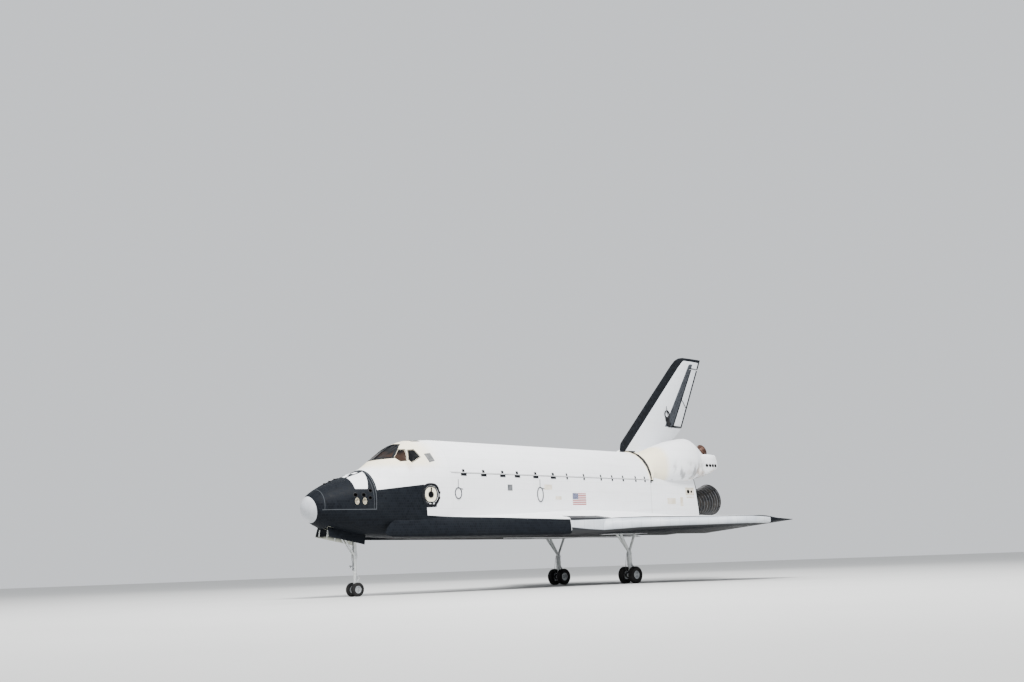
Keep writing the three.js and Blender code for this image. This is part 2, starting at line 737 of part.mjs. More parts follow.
// Wing sections: height of the upper skin over the flat lower skin, by share of the chord to the hinge
const UPPER_SHAPE = [
  // share of chord, share of full height near the root, and near the tip
  [0, 0.16, 0.42],
  [0.004, 0.3, 0.55],
  [0.015, 0.5, 0.68],
  [0.03, 0.63, 0.78],
  [0.06, 0.71, 0.88],
  [0.15, 0.75, 0.96],
  [0.3, 0.82, 1],
  [0.45, 0.92, 0.98],
  [0.62, 1, 0.95],
  [0.8, 0.82, 0.84],
];
const LOWER_SHAPE = [
  // share of chord, share of full height near the root, and near the tip
  [0.5, 0, 0],
  [0.2, 0, 0.02],
  [0.06, 0, 0.1],
  [0.02, 0.025, 0.2],
  [0.005, 0.085, 0.3],
];
const WING_STATIONS = [
  // y, greatest height of the section, share of the thickness that the rounded tip keeps
  [2100, 1650, 1],
  [2667, 1650, 1],
  [3126, 1600, 1],
  [3134, 1600, 1],
  [3900, 1500, 1],
  [4950, 1300, 1],
  [5300, 1240, 1],
  [6500, 1060, 1],
  [7912, 900, 1],
  [9500, 740, 1],
  [11000, 610, 1],
  [11660, 555, 1],
  [11820, 540, 0.78],
  [HALF_SPAN, 530, 0.4],
];
const SHAPE_BLEND = { from: 4450, over: 1500 };
const TE_HALF_THICK = 22;
const TIP_ROUND = 700;
const EDGE_TIP = { x: 28238, y: 11760 };

function leadingX(y) {
  const [a, b] = [GLOVE_START, GLOVE_END];
  if (y <= b.y) return THREE.MathUtils.mapLinear(y, a.y, b.y, a.x, b.x);
  const straight = THREE.MathUtils.mapLinear(y, b.y, HALF_SPAN, b.x, WING_TIP_LE_X);
  const tip = Math.max(0, (y - 11600) / (HALF_SPAN - 11600));
  return straight + TIP_ROUND * tip ** 2;
}
const trailingX = (y) => THREE.MathUtils.mapLinear(
  Math.max(y, WING_ROOT_Y), WING_ROOT_Y, HALF_SPAN, WING_ROOT_TE_X, WING_TIP_TE_X,
);
const lowerZ = (y) => BELLY_Z + BELLY_RISE * Math.max(0, y - GLOVE_END.y);
const hingeZ = (y) => HINGE_LINE.z + HINGE_LINE.rise * (y - WING_ROOT_Y);
const hingeRadius = (y) => HINGE_LINE.radius - HINGE_LINE.taper * (y - WING_ROOT_Y);
const hingePoint = (y, side) => [HINGE_X, side * y, hingeZ(y)];

// The root stub inboard of the elevons is fixed, and the elevons rest with their trailing edge drooped
const trailingZ = (y) => (
  y < WING_ROOT_Y - 20 ? FIXED_TRAILING_Z : TRAILING_LINE.z + TRAILING_LINE.rise * (y - WING_ROOT_Y)
);

function wingRing([y, height, kept], side) {
  const [lead, trail, low] = [leadingX(y), trailingX(y), lowerZ(y)];
  const chord = HINGE_X - lead;
  const outer = THREE.MathUtils.clamp((y - SHAPE_BLEND.from) / SHAPE_BLEND.over, 0, 1);
  const middle = [
    [lead, low + 0.4 * height],
    [HINGE_X, hingeZ(y)],
    [trail, trailingZ(y)],
  ];
  const point = (x, z) => {
    const centre = between(middle, x, 1);
    return new THREE.Vector3(x, side * y, centre + kept * (z - centre));
  };
  const skin = (shape) => shape.map(([share, root, tip]) => (
    point(lead + share * chord, low + height * THREE.MathUtils.lerp(root, tip, outer))
  ));
  return [
    ...skin(UPPER_SHAPE),
    point(HINGE_X, hingeZ(y) + hingeRadius(y)),
    point(trail, trailingZ(y) + TE_HALF_THICK),
    point(trail, trailingZ(y) - TE_HALF_THICK),
    point(HINGE_X, hingeZ(y) - hingeRadius(y)),
    ...skin(LOWER_SHAPE),
  ];
}

// Strip of plan along the leading edge that the light-coloured edge panels cover
function edgeRegion(side, grow) {
  const reach = EDGE_WIDTH + grow;
  const [slopeX, slopeY] = [WING_TIP_LE_X - GLOVE_END.x, HALF_SPAN - GLOVE_END.y];
  const length = Math.hypot(slopeX, slopeY);
  const tip = [WING_TIP_LE_X + (reach * slopeY) / length, HALF_SPAN - (reach * slopeX) / length];
  const start = leadingYAt(EDGE_START_X);
  return planSlab([
    [EDGE_START_X - grow, start - reach],
    [GLOVE_END.x + 0.42 * reach, GLOVE_END.y - 0.85 * reach],
    tip,
    [EDGE_TIP.x + grow, EDGE_TIP.y - grow],
    [EDGE_TIP.x + grow, HALF_SPAN + 1000],
    [EDGE_START_X - grow, HALF_SPAN + 1000],
  ].map(([x, y]) => [x, side * y]), 0, FAR);
}

function leadingYAt(x) {
  return THREE.MathUtils.mapLinear(x, GLOVE_START.x, GLOVE_END.x, GLOVE_START.y, GLOVE_END.y);
}

// Round front of an elevon
const elevonRod = (inner, outer, side, grow) => rod(
  hingePoint(inner, side),
  hingePoint(outer, side),
  hingeRadius(inner) + grow,
  hingeRadius(outer) + grow,
  24,
);
const ELEVON_PIN = 90;
const ELEVON_PIN_LENGTH = 100;
// How far the wing's lips stop short of the hinge line, as a share of the round front's radius,
// and the height that parts the upper lip from the lower one
const LIP_CUT = { upper: 0.3, lower: 0.16, z: 3800 };

function lipCut({ inner, outer }, side, share, zFrom, zTo) {
  const [near, far] = [inner - ELEVON_END_GAP, outer + ELEVON_END_GAP];
  return planSlab([
    [HINGE_X - share * hingeRadius(near), side * near],
    [HINGE_X - share * hingeRadius(far), side * far],
    [FAR, side * far],
    [FAR, side * near],
  ], zFrom, zTo);
}

function elevon(panel, side, blank) {
  const { inner, outer, pinAt } = panel;
  const blade = blank.intersect(block(HINGE_X, FAR, side * inner, side * outer, 0, FAR));
  const radius = Math.min(ELEVON_PIN, 0.75 * hingeRadius(outer));
  // The pin's end leans with the hinge line, so its nearest edge stops at the pin gap
  const reach = ELEVON_END_GAP - PIN_GAP - HINGE_LINE.rise * radius;
  const [start, face] = pinAt === 'inner'
    ? [inner + ELEVON_PIN_LENGTH, inner - reach]
    : [outer - ELEVON_PIN_LENGTH, outer + reach];
  const pin = rod(hingePoint(start, side), hingePoint(face, side), radius);
  return join(blade, elevonRod(inner, outer, side, 0), pin);
}

function wing(side, blank) {
  const bays = ELEVONS.flatMap((panel) => [
    lipCut(panel, side, LIP_CUT.upper, LIP_CUT.z, FAR),
    lipCut(panel, side, LIP_CUT.lower, 0, LIP_CUT.z),
    elevonRod(panel.inner - ELEVON_END_GAP, panel.outer + ELEVON_END_GAP, side, CLEAR),
  ]);
  const well = block(
    MAIN_WELL.front,
    MAIN_WELL.aft,
    side * MAIN_WELL.inner,
    side * MAIN_WELL.outer,
    0,
    MAIN_WELL.roof,
  );
  return cut(blank, edgeRegion(side, SEAM), well, ...bays);
}

for (const [side, sideName] of [[-1, 'left'], [1, 'right']]) {
  const blank = cut(
    loft(WING_STATIONS.map((station) => wingRing(station, side))),
    hullForCutting,
  );
  addPiece(`wing_${sideName}`, wing(side, blank), WHITE);
  addPiece(`leading_edge_${sideName}`, blank.intersect(edgeRegion(side, 0)), PALE_GREY);
  for (const panel of ELEVONS) {
    addPiece(`${panel.name}_${sideName}`, elevon(panel, side, blank), WHITE);
  }
}

// Vertical fin
const FIN_STATIONS = [
  // z, leading x, trailing x, greatest half thickness
  [8500, 25600, 32750, 352],
  [11530, 28590, 34279, 286],
  [14000, 31020, 35546, 227],
  [16400, 33390, 36777, 170],
  [16900, 33950, 37033, 158],
  [17150, 34450, 37160, 140],
  [FIN_TIP_Z, 34970, LENGTH, 60],
];
const FIN_SHAPE = [
  // share of chord, share of greatest half thickness
  [0.02, 0.22],
  [0.1, 0.5],
  [0.35, 0.9],
  [0.6, 1],
  [0.8, 0.74],
];
const FIN_TE_HALF = 20;
// Trailing edge below the rudder, from the fuselage up to the rudder's bottom corner
const FIN_FOOT = [[31100, 8000], [31100, 9230], [34279, 11531]];
const FIN_EDGE_WIDTH = 870;

function finRing([z, lead, trail, half]) {
  const chord = trail - lead;
  const sideOf = (sign) => FIN_SHAPE.map(([share, thick]) => (
    new THREE.Vector3(lead + share * chord, sign * thick * half, z)
  ));
  return [
    new THREE.Vector3(lead, 0, z),
    ...sideOf(-1),
    new THREE.Vector3(trail, -FIN_TE_HALF, z),
    new THREE.Vector3(trail, FIN_TE_HALF, z),
    ...sideOf(1).reverse(),
  ];
}

// Point on the rudder's hinge line at a height
const rudderLineX = (z) => THREE.MathUtils.mapLinear(
  z, RUDDER.bottom.z, RUDDER.top.z, RUDDER.bottom.x, RUDDER.top.x,
);
const rudderPoint = (z) => [rudderLineX(z), 0, z];
const CONE_LOW_Z = RUDDER.bottom.z + 260;
const CONE_HIGH_Z = RUDDER.top.z - 210;
const PIN_DEPTH = 260;

const rudderCone = (grow) => rod(
  rudderPoint(CONE_LOW_Z - grow),
  rudderPoint(CONE_HIGH_Z + grow),
  RUDDER.coneBottom + grow,
  RUDDER.coneTop + grow,
  24,
);
const rudderPin = (grow, stretch) => rod(
  rudderPoint(RUDDER.bottom.z - PIN_DEPTH - stretch),
  rudderPoint(RUDDER.top.z + PIN_DEPTH + stretch),
  RUDDER.pinRadius + grow,
  RUDDER.pinRadius + grow,
  24,
);

function finEdgeRegion(grow) {
  const reach = FIN_EDGE_WIDTH + grow;
  const edge = FIN_STATIONS.filter(([z]) => z < FIN_TIP_Z).map(([z, lead]) => [lead + reach, z]);
  return sideSlab([
    ...edge,
    [34970 + 0.4 * reach, FIN_TIP_Z + 200],
    [20000, FIN_TIP_Z + 200],
    [20000, 8500],
  ], -1000, 1000);
}

function fin() {
  const { bottom, top, coveBottom, coveTop } = RUDDER;
  const rudderBay = sideSlab([
    [bottom.x, bottom.z],
    [FAR, bottom.z],
    [FAR, top.z],
    [top.x, top.z],
  ], -1000, 1000);
  const cove = rod(rudderPoint(bottom.z + 12), rudderPoint(top.z - 20), coveBottom, coveTop, 24);
  const foot = sideSlab([...FIN_FOOT, [FAR, bottom.z + 1], [FAR, FIN_FOOT[0][1]]], -1000, 1000);
  return cut(finBlank, rudderBay, cove, foot, rudderPin(BEARING_GAP, PIN_GAP), finEdgeRegion(SEAM));
}

const finBlank = cut(
  loft(FIN_STATIONS.map(finRing)),
  hullForCutting,
  block(0, FIN_FRONT_X, -NOSE_REACH, NOSE_REACH, 0, FAR),
);
addPiece('vertical_fin', fin(), WHITE);
addPiece('fin_leading_edge', finBlank.intersect(finEdgeRegion(0)), BLACK_TILE);
addPiece('rudder_spine', join(rudderCone(0), rudderPin(0, 0)), DARK_GREY);

// Rudder panels: left and right halves, each in an upper and a lower panel
const PANEL_START = 24;
const SPLIT_GAP = 8;
const CONE_GAP = 6;

function rudderPanel(side, upper) {
  const { bottom, top } = RUDDER;
  const { front, aft } = RUDDER_SPLIT;
  const gap = upper ? SPLIT_GAP : -SPLIT_GAP;
  const splitFront = [front.x + PANEL_START + gap, front.z + gap];
  const splitAft = [aft.x + gap, aft.z + gap];
  const highZ = top.z - RUDDER.topGap;
  const lowZ = bottom.z + RUDDER.bottomGap;
  const outline = upper
    ? [splitFront, splitAft, [FAR, aft.z + gap], [FAR, highZ], [rudderLineX(highZ) + PANEL_START, highZ]]
    : [[rudderLineX(lowZ) + PANEL_START, lowZ], [splitAft[0], lowZ], splitAft, splitFront];
  const [near, far] = [side * (CLEAR / 2), side * 1000];
  return cut(
    finBlank.intersect(sideSlab(outline, Math.min(near, far), Math.max(near, far))),
    rudderCone(CONE_GAP),
    rudderPin(BEARING_GAP, 0),
  );
}

for (const [side, sideName] of [[-1, 'left'], [1, 'right']]) {
  addPiece(`rudder_lower_${sideName}`, rudderPanel(side, false), WHITE);
  addPiece(`rudder_upper_${sideName}`, rudderPanel(side, true), WHITE);
}

// Engines: a heat shield round the gimbal, then a hollow bell. Profiles are [radius, distance aft].
const MAIN_SHIELD = [[0, -150], [170, -150], [200, 300], [620, 300], [800, 520], [700, 800], [400, 940]];
const MAIN_BELL = [[350, 1100], [560, 1600], [760, 2150], [930, 2750], [1060, 3350], [1152, 3988]];
const POD_SHIELD = [[0, -60], [70, -60], [85, 110], [250, 110], [300, 200], [290, 260], [150, 330]];
const POD_BELL = [[150, 420], [300, 580], [440, 790], [550, 1060]];

function engineSolid(shield, bell, wall, sides) {
  const [throat, ...flare] = bell;
  const inside = flare.map(([r, s]) => [r - wall, s]).reverse();
  return turned([
    ...shield,
    throat,
    ...flare,
    ...inside,
    [throat[0] - wall, throat[1] + wall],
    [0, throat[1] + wall],
  ], sides);
}

function addEngine(engine, mount, solid) {
  const turn = new THREE.Matrix4().makeRotationFromQuaternion(
    new THREE.Quaternion().setFromUnitVectors(new THREE.Vector3(0, 1, 0), aim(engine)),
  );
  const axle = rod([0, -mount.axleHalf, 0], [0, mount.axleHalf, 0], mount.axle);
  const whole = join(solidOf(geometryOf(solid).applyMatrix4(turn)), axle);
  addPiece(engine.name, whole, BELL).position.set(engine.x, engine.y, engine.z);
}

for (const engine of MAIN_ENGINES) {
  addEngine(engine, MAIN_MOUNT, engineSolid(MAIN_SHIELD, MAIN_BELL, 40, 20));
}

// Pods beside the fin: rounded sections, the thruster housing at the back and the engine
const POD_SECTIONS = [
  // x, y of the centre, z of the centre, half width, half height, roundness power
  [27170, 0, 6706, 2730, 2730, 2],
  [27600, 1150, 7950, 1580, 1250, 2.5],
  [28300, 1420, 8080, 1440, 1390, 2.4],
  [29200, 1700, 8330, 1520, 1500, 2.5],
  [30200, 1900, 8540, 1600, 1600, 2.6],
  [31300, 2040, 8690, 1640, 1650, 2.5],
  [31700, 2060, 8690, 1540, 1610, 2.2],
  [32050, 2100, 8640, 1440, 1490, 2.05],
  [32400, 2160, 8540, 1330, 1290, 2],
  [32700, 2220, 8430, 1250, 1060, 2],
  [33000, 2280, 8330, 1180, 860, 2],
  [33400, 2320, 8250, 1100, 700, 2],
];
const HOUSING_SECTIONS = [
  [31900, 3150, 8290, 330, 760, 3],
  [32600, 3250, 8370, 430, 760, 4],
  [33063, 3280, 8430, 440, 700, 4],
  [33560, 3280, 8500, 430, 590, 4],
  [33760, 3270, 8400, 380, 380, 4],
  [33860, 3260, 8330, 260, 180, 4],
];
const POD_POINTS = 24;
const POD_FIN_GAP = 356;
const POD_LOW_Z = 7150;

function podRing([x, yCentre, zCentre, halfWidth, halfHeight, power], side) {
  const ring = [];
  for (let k = 0; k < POD_POINTS; k += 1) {
    const angle = (2 * Math.PI * k) / POD_POINTS;
    const [c, s] = [Math.cos(angle), Math.sin(angle)];
    ring.push(new THREE.Vector3(
      x,
      side * (yCentre + halfWidth * Math.sign(c) * Math.abs(c) ** (2 / power)),
      zCentre + halfHeight * Math.sign(s) * Math.abs(s) ** (2 / power),
    ));
  }
  return ring;
}

for (const [side, sideName] of [[-1, 'left'], [1, 'right']]) {
  const engine = {
    ...POD_ENGINE,
    name: `pod_engine_${sideName}`,
    y: side * POD_ENGINE.y,
    splay: side * POD_ENGINE.splay,
  };
  const shell = join(
    loft(POD_SECTIONS.map((row) => podRing(row, side))),
    loft(HOUSING_SECTIONS.map((row) => podRing(row, side))),
  );
  const pod = cut(
    shell,
    hullForCutting,
    block(0, FAR, side * POD_FIN_GAP, -side * NOSE_REACH, 0, FAR),
    block(0, FAR, -FAR, FAR, 0, POD_LOW_Z),
    enginePocket(engine, POD_MOUNT),
  );
  addPiece(`pod_${sideName}`, join(pod, ...engineLugs(engine, POD_MOUNT)), WHITE);
  addEngine(engine, POD_MOUNT, engineSolid(POD_SHIELD, POD_BELL, 22, 16));
}

// Wheels. The profile of a tyre is [radius, distance from its middle], closed on itself.
function tyreSolid({ radius, width, bead }) {
  const half = width / 2;
  const shoulder = radius - 0.1 * (radius - bead);
  const wall = radius - 0.45 * (radius - bead);
  const profile = [
    [bead, -0.72 * half],
    [wall, -half],
    [shoulder, -0.78 * half],
    [radius, -0.45 * half],
    [radius, 0.45 * half],
    [shoulder, 0.78 * half],
    [wall, half],
    [bead, 0.72 * half],
    [bead, -0.72 * half],
  ];
  return turned(profile, WHEEL_SIDES);
}

function rimProfile({ width, bead }) {
  const half = 0.72 * (width / 2);
  const edge = bead - PIN_GAP;
  return [
    [0, -0.55 * half],
    [0.6 * edge, -0.55 * half],
    [edge, -half],
    [edge, half],
    [0.6 * edge, 0.55 * half],
    [0, 0.55 * half],
  ];
}

function addWheels(name, tyre, axle, y) {
  const shifted = (profile, offset) => profile.map(([r, s]) => [r, s + offset]);
  const reach = tyre.offset + 0.45 * tyre.width;
  const wheelset = join(
    solidOf(new THREE.CylinderGeometry(axle.radius, axle.radius, 2 * reach, AXLE_SIDES)),
    turned(shifted(rimProfile(tyre), -tyre.offset), WHEEL_SIDES),
    turned(shifted(rimProfile(tyre), tyre.offset), WHEEL_SIDES),
  );
  addPiece(`${name}_wheels`, wheelset, STEEL).position.set(axle.x, y, axle.z);
  for (const [side, sideName] of [[-1, 'left'], [1, 'right']]) {
    const mesh = addPiece(`${name}_tyre_${sideName}`, tyreSolid(tyre), RUBBER);
    mesh.position.set(axle.x, y + side * tyre.offset, axle.z);
  }
}

// Nose leg from its cross shaft down to the piston, with two drag braces
function noseLeg() {
  const { x } = NOSE_AXLE;
  const { radius, bottom, shaftDrop, shaftRadius, collar } = NOSE_LEG;
  const brace = NOSE_BRACE;
  const reach = NOSE_WELL.halfWidth - PIN_GAP;
  const shaftZ = NOSE_WELL.roof - shaftDrop;
  const braces = [-1, 1].map((side) => rod(
    [brace.x, side * brace.spread, brace.z],
    [brace.footX, side * brace.footY, brace.footZ],
    brace.radius,
    brace.radius,
    16,
  ));
  return join(
    rod([x, 0, shaftZ], [x, 0, bottom], radius),
    rod([x, 0, collar.high], [x, 0, collar.low], radius + collar.extra),
    rod([x, -reach, shaftZ], [x, reach, shaftZ], shaftRadius),
    rod([brace.x, -reach, brace.z], [brace.x, reach, brace.z], brace.shaftRadius),
    ...braces,
  );
}

// Lower half of the nose leg, which steers: piston, torque link and axle housing
function noseFork() {
  const { x, z, radius } = NOSE_AXLE;
  const { half, wall, boreHalf } = NOSE_HOUSING;
  const link = TORQUE_LINK;
  const top = NOSE_LEG.bottom - PIN_GAP;
  const body = join(
    rod([x, 0, top], [x, 0, z], NOSE_LEG.pistonRadius),
    rod([x, 0, top], [x, 0, top - NOSE_LEG.collarLength], NOSE_LEG.radius),
    rod([x + link.near, 0, top - link.highDrop], [x + link.far, 0, link.midZ], link.radius),
    rod([x + link.far, 0, link.midZ], [x + link.near, 0, link.lowZ], link.radius),
    rod([x, -half, z], [x, half, z], radius + wall),
  );
  const bore = radius + BEARING_GAP;
  return cut(body, rod([x, -boreHalf, z], [x, boreHalf, z], bore, bore, AXLE_SIDES));
}

addPiece('nose_strut', noseLeg(), STEEL);
addPiece('nose_fork', noseFork(), STEEL);
addWheels('nose', NOSE_TYRE, NOSE_AXLE, 0);

// Nose doors: curved strips of the belly, hanging open from their outer edges
function noseDoor(side) {
  const [front, aft] = noseHinge(side);
  const direction = aft.clone().sub(front).normalize();
  const skin = cut(hullBetween(900, 4300, 0), hullBetween(900, 4300, NOSE_DOOR.skin));
  const strip = skin.intersect(block(
    NOSE_WELL.front + CLEAR,
    NOSE_WELL.aft - CLEAR,
    side * (CLEAR / 2),
    side * (NOSE_WELL.halfWidth - CLEAR),
    0,
    4600,
  ));
  const pin = noseHingeRod(side, NOSE_DOOR.pinRadius, NOSE_DOOR.reliefExtra - PIN_GAP);
  const closed = join(strip, pin);
  const mesh = addPiece(`nose_door_${side < 0 ? 'left' : 'right'}`, closed, BLACK_TILE);
  mesh.geometry.translate(-front.x, -front.y, -front.z);
  mesh.position.copy(front);
  mesh.quaternion.setFromAxisAngle(direction, side * THREE.MathUtils.degToRad(NOSE_DOOR.openAngle));
}

noseDoor(-1);
noseDoor(1);

// Main legs: two braces forward and one aft meet at a fork, with the piston and axle below
function mainLeg(side) {
  const { x, z, radius } = MAIN_AXLE;
  const y = side * MAIN_AXLE.y;
  const { pistonRadius, collarZ, forkZ, armRadius } = MAIN_LEG;
  const { half, wall, boreHalf } = MAIN_HOUSING;
  const above = MAIN_WELL.roof + 300;
  const arms = MAIN_ARMS.map(([topX, spread]) => (
    rod([topX, y + spread, above], [x, y, forkZ], armRadius, armRadius, 16)
  ));
  const body = join(
    rod([x, y, z], [x, y, collarZ + 50], pistonRadius),
    rod([x, y, collarZ], [x, y, forkZ + 60], MAIN_LEG.radius),
    rod([x, y - half, z], [x, y + half, z], radius + wall),
    ...arms,
  );
  const bore = radius + BEARING_GAP;
  return cut(
    body,
    rod([x, y - boreHalf, z], [x, y + boreHalf, z], bore, bore, AXLE_SIDES),
    block(x - 3000, x + 3000, y - 1000, y + 1000, MAIN_WELL.roof - SEAM, FAR),
  );
}

for (const [side, sideName] of [[-1, 'left'], [1, 'right']]) {
  addPiece(`main_strut_${sideName}`, mainLeg(side), STEEL);
  addWheels(`main_${sideName}`, MAIN_TYRE, MAIN_AXLE, side * MAIN_AXLE.y);
}

shuttle.position.x = -LENGTH / 2;

export default shuttle;
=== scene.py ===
"""Looks of the space shuttle: materials, fine pieces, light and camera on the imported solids.

Metres throughout, x aft, y starboard, z up from the ground. A value written "from the nose"
is an x measured from the nose tip, as in the solids' source.
"""

import math
from functools import cache, partialmethod

import bmesh
import bpy
from mathutils import Matrix, Vector
from mathutils.bvhtree import BVHTree


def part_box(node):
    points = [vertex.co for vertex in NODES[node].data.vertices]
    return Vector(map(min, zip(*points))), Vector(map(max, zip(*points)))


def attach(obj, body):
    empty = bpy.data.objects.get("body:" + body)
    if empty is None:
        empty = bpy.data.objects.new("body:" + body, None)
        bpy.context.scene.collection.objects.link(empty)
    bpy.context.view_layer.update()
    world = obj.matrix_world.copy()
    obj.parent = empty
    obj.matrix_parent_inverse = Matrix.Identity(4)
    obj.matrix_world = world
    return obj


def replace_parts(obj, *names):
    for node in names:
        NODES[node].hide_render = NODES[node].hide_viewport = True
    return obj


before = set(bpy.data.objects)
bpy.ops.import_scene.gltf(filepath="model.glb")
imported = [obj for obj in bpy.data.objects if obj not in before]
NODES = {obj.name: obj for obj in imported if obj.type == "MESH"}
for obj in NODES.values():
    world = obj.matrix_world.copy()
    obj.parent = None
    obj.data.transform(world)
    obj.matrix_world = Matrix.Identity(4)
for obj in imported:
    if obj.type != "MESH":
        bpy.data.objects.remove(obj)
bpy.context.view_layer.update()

NOSE_X = -18.6055

# Camera, solved from the photograph: place, turns in degrees, and focal length on a 36 mm sensor
CAMERA_PLACE = (-52.8464, -55.5910, 1.3660)
CAMERA_YAW = 42.4746
CAMERA_PITCH = 11.4380
CAMERA_ROLL = -2.0628
CAMERA_LENS = 39.27

# Edge of the black tiles along the side behind the hatch, metres from the nose and height
BLACK_EDGE = [
    (0.0, 4.6), (7.079, 4.56), (8.6, 4.483), (11.8, 4.412), (14.6, 4.325), (16.7, 4.26), (18.5, 4.26),
    (37.3, 4.2),
]
# Black tiles ahead of the hatch: height of their edge at a place and its slope, and their rear end
FORWARD_EDGE = {"x": 3.72, "z": 6.029, "slope": 0.1141}
FORWARD_END = {"x": 7.079, "z": 4.56, "slope": -0.117}
# Place where the pale nose dome ends, leaning forward with height
DOME_END = {"x": 0.6, "z": 4.265, "slope": -0.2037}
# Plan of the wing's front edge: glove, and the swept edge outboard of it
GLOVE_LINE = ((5.182, 2.27), (19.609, 4.95))
SWEPT_LINE = ((19.609, 4.95), (26.67, 11.887))
# Lower edge of the dark line along the top of the pale edge panels
EDGE_TOP = [
    (17.0, 4.17), (17.8, 4.18), (19.4, 4.21), (20.3, 4.27), (21.5, 4.26), (22.6, 4.215), (26.4, 4.1),
    (28.3, 4.0),
]
# Upper edge of the black on the lower side of the same panels: partly black tile below them, partly painted
# shade on the panels' lower side
EDGE_LOW = [
    (17.0, 3.75), (17.2, 3.74), (18.5, 3.615), (19.7, 3.545), (20.5, 3.585), (21.3, 3.633), (22.8, 3.657),
    (26.1, 3.646), (27.8, 3.633), (28.3, 3.63),
]
# Dark frame round the two front panes: half width at each height
FRONT_FRAME = [
    (7.9, 1.29), (8.074, 1.26), (8.642, 0.925), (8.88, 0.66), (9.0, 0.54), (9.06, 0.3), (9.12, 0.0),
]
# Foot of the rudder, rear edge of the fin from there up, and both edges of the dark band before it
RUDDER_FOOT = 11.5
FIN_REAR = [(RUDDER_FOOT, 34.264), (14.0, 35.546), (16.4, 36.777), (17.3, 37.239)]
BAND_FRONT = ((32.258, 11.936), (35.671, 16.775))
BAND_REAR = ((33.0, 11.529), (35.861, 16.427))
# Middle of the crew hatch, and corners of the flag, from the nose and in height
HATCH = (7.315, 5.79)
FLAG = [(19.187, 6.071), (20.472, 6.071), (20.472, 5.29), (19.187, 5.29)]


def colour(red, green, blue):
    """A linear colour with alpha from sRGB parts of 0 to 255."""
    parts = [c / 255 for c in (red, green, blue)]
    linear = [c / 12.92 if c <= 0.04045 else ((c + 0.055) / 1.055) ** 2.4 for c in parts]
    return (*linear, 1.0)


# Colours as sRGB parts of 0 to 255
WHITE = (246, 247, 249)
CREAM = (250, 237, 202)
BLACK = (14, 17, 22)
LINER = (196, 198, 186)
# Pitch along and across, and width of the seam, of the black tiles and of the light quilt
TILE = (0.152, 0.152, 0.0035)
QUILT = (0.84, 0.62, 0.006)
# Shine of both, and half the width over which one colour gives way to the next
MATT = 0.06
SOFT = 0.012


class Value:
    """A number or colour that nodes work out.

    Masks run from 0 to 1: & is both, | either and ~ the opposite.
    """

    def __init__(self, shader, socket):
        self.shader = shader
        self.socket = socket

    def calc(self, operation, *others):
        return self.shader.value("Math", enumerate((self, *others)), operation=operation)

    __add__ = partialmethod(calc, "ADD")
    __sub__ = partialmethod(calc, "SUBTRACT")
    __mul__ = __and__ = partialmethod(calc, "MULTIPLY")
    __truediv__ = partialmethod(calc, "DIVIDE")
    __mod__ = partialmethod(calc, "FLOORED_MODULO")
    __pow__ = partialmethod(calc, "POWER")
    __gt__ = partialmethod(calc, "GREATER_THAN")
    __lt__ = partialmethod(calc, "LESS_THAN")
    __or__ = partialmethod(calc, "MAXIMUM")
    __abs__ = partialmethod(calc, "ABSOLUTE")
    floor = partialmethod(calc, "FLOOR")
    fract = partialmethod(calc, "FRACT")

    def __invert__(self):
        return self.shader.value("Math", enumerate((1.0, self)), operation="SUBTRACT")

    def rise(self, low, high):
        """0 below low, 1 above high, smooth between."""
        inputs = enumerate((self, low, high, 0.0, 1.0))
        return self.shader.value("MapRange", inputs, interpolation_type="SMOOTHSTEP")

    def fall(self, low, high):
        return ~self.rise(low, high)

    def past(self, edge):
        return (self - edge).rise(-SOFT, SOFT)

    def band(self, low, high, soft):
        """1 between low and high, and 0 outside them."""
        return self.rise(low - soft, low + soft) - self.rise(high - soft, high + soft)


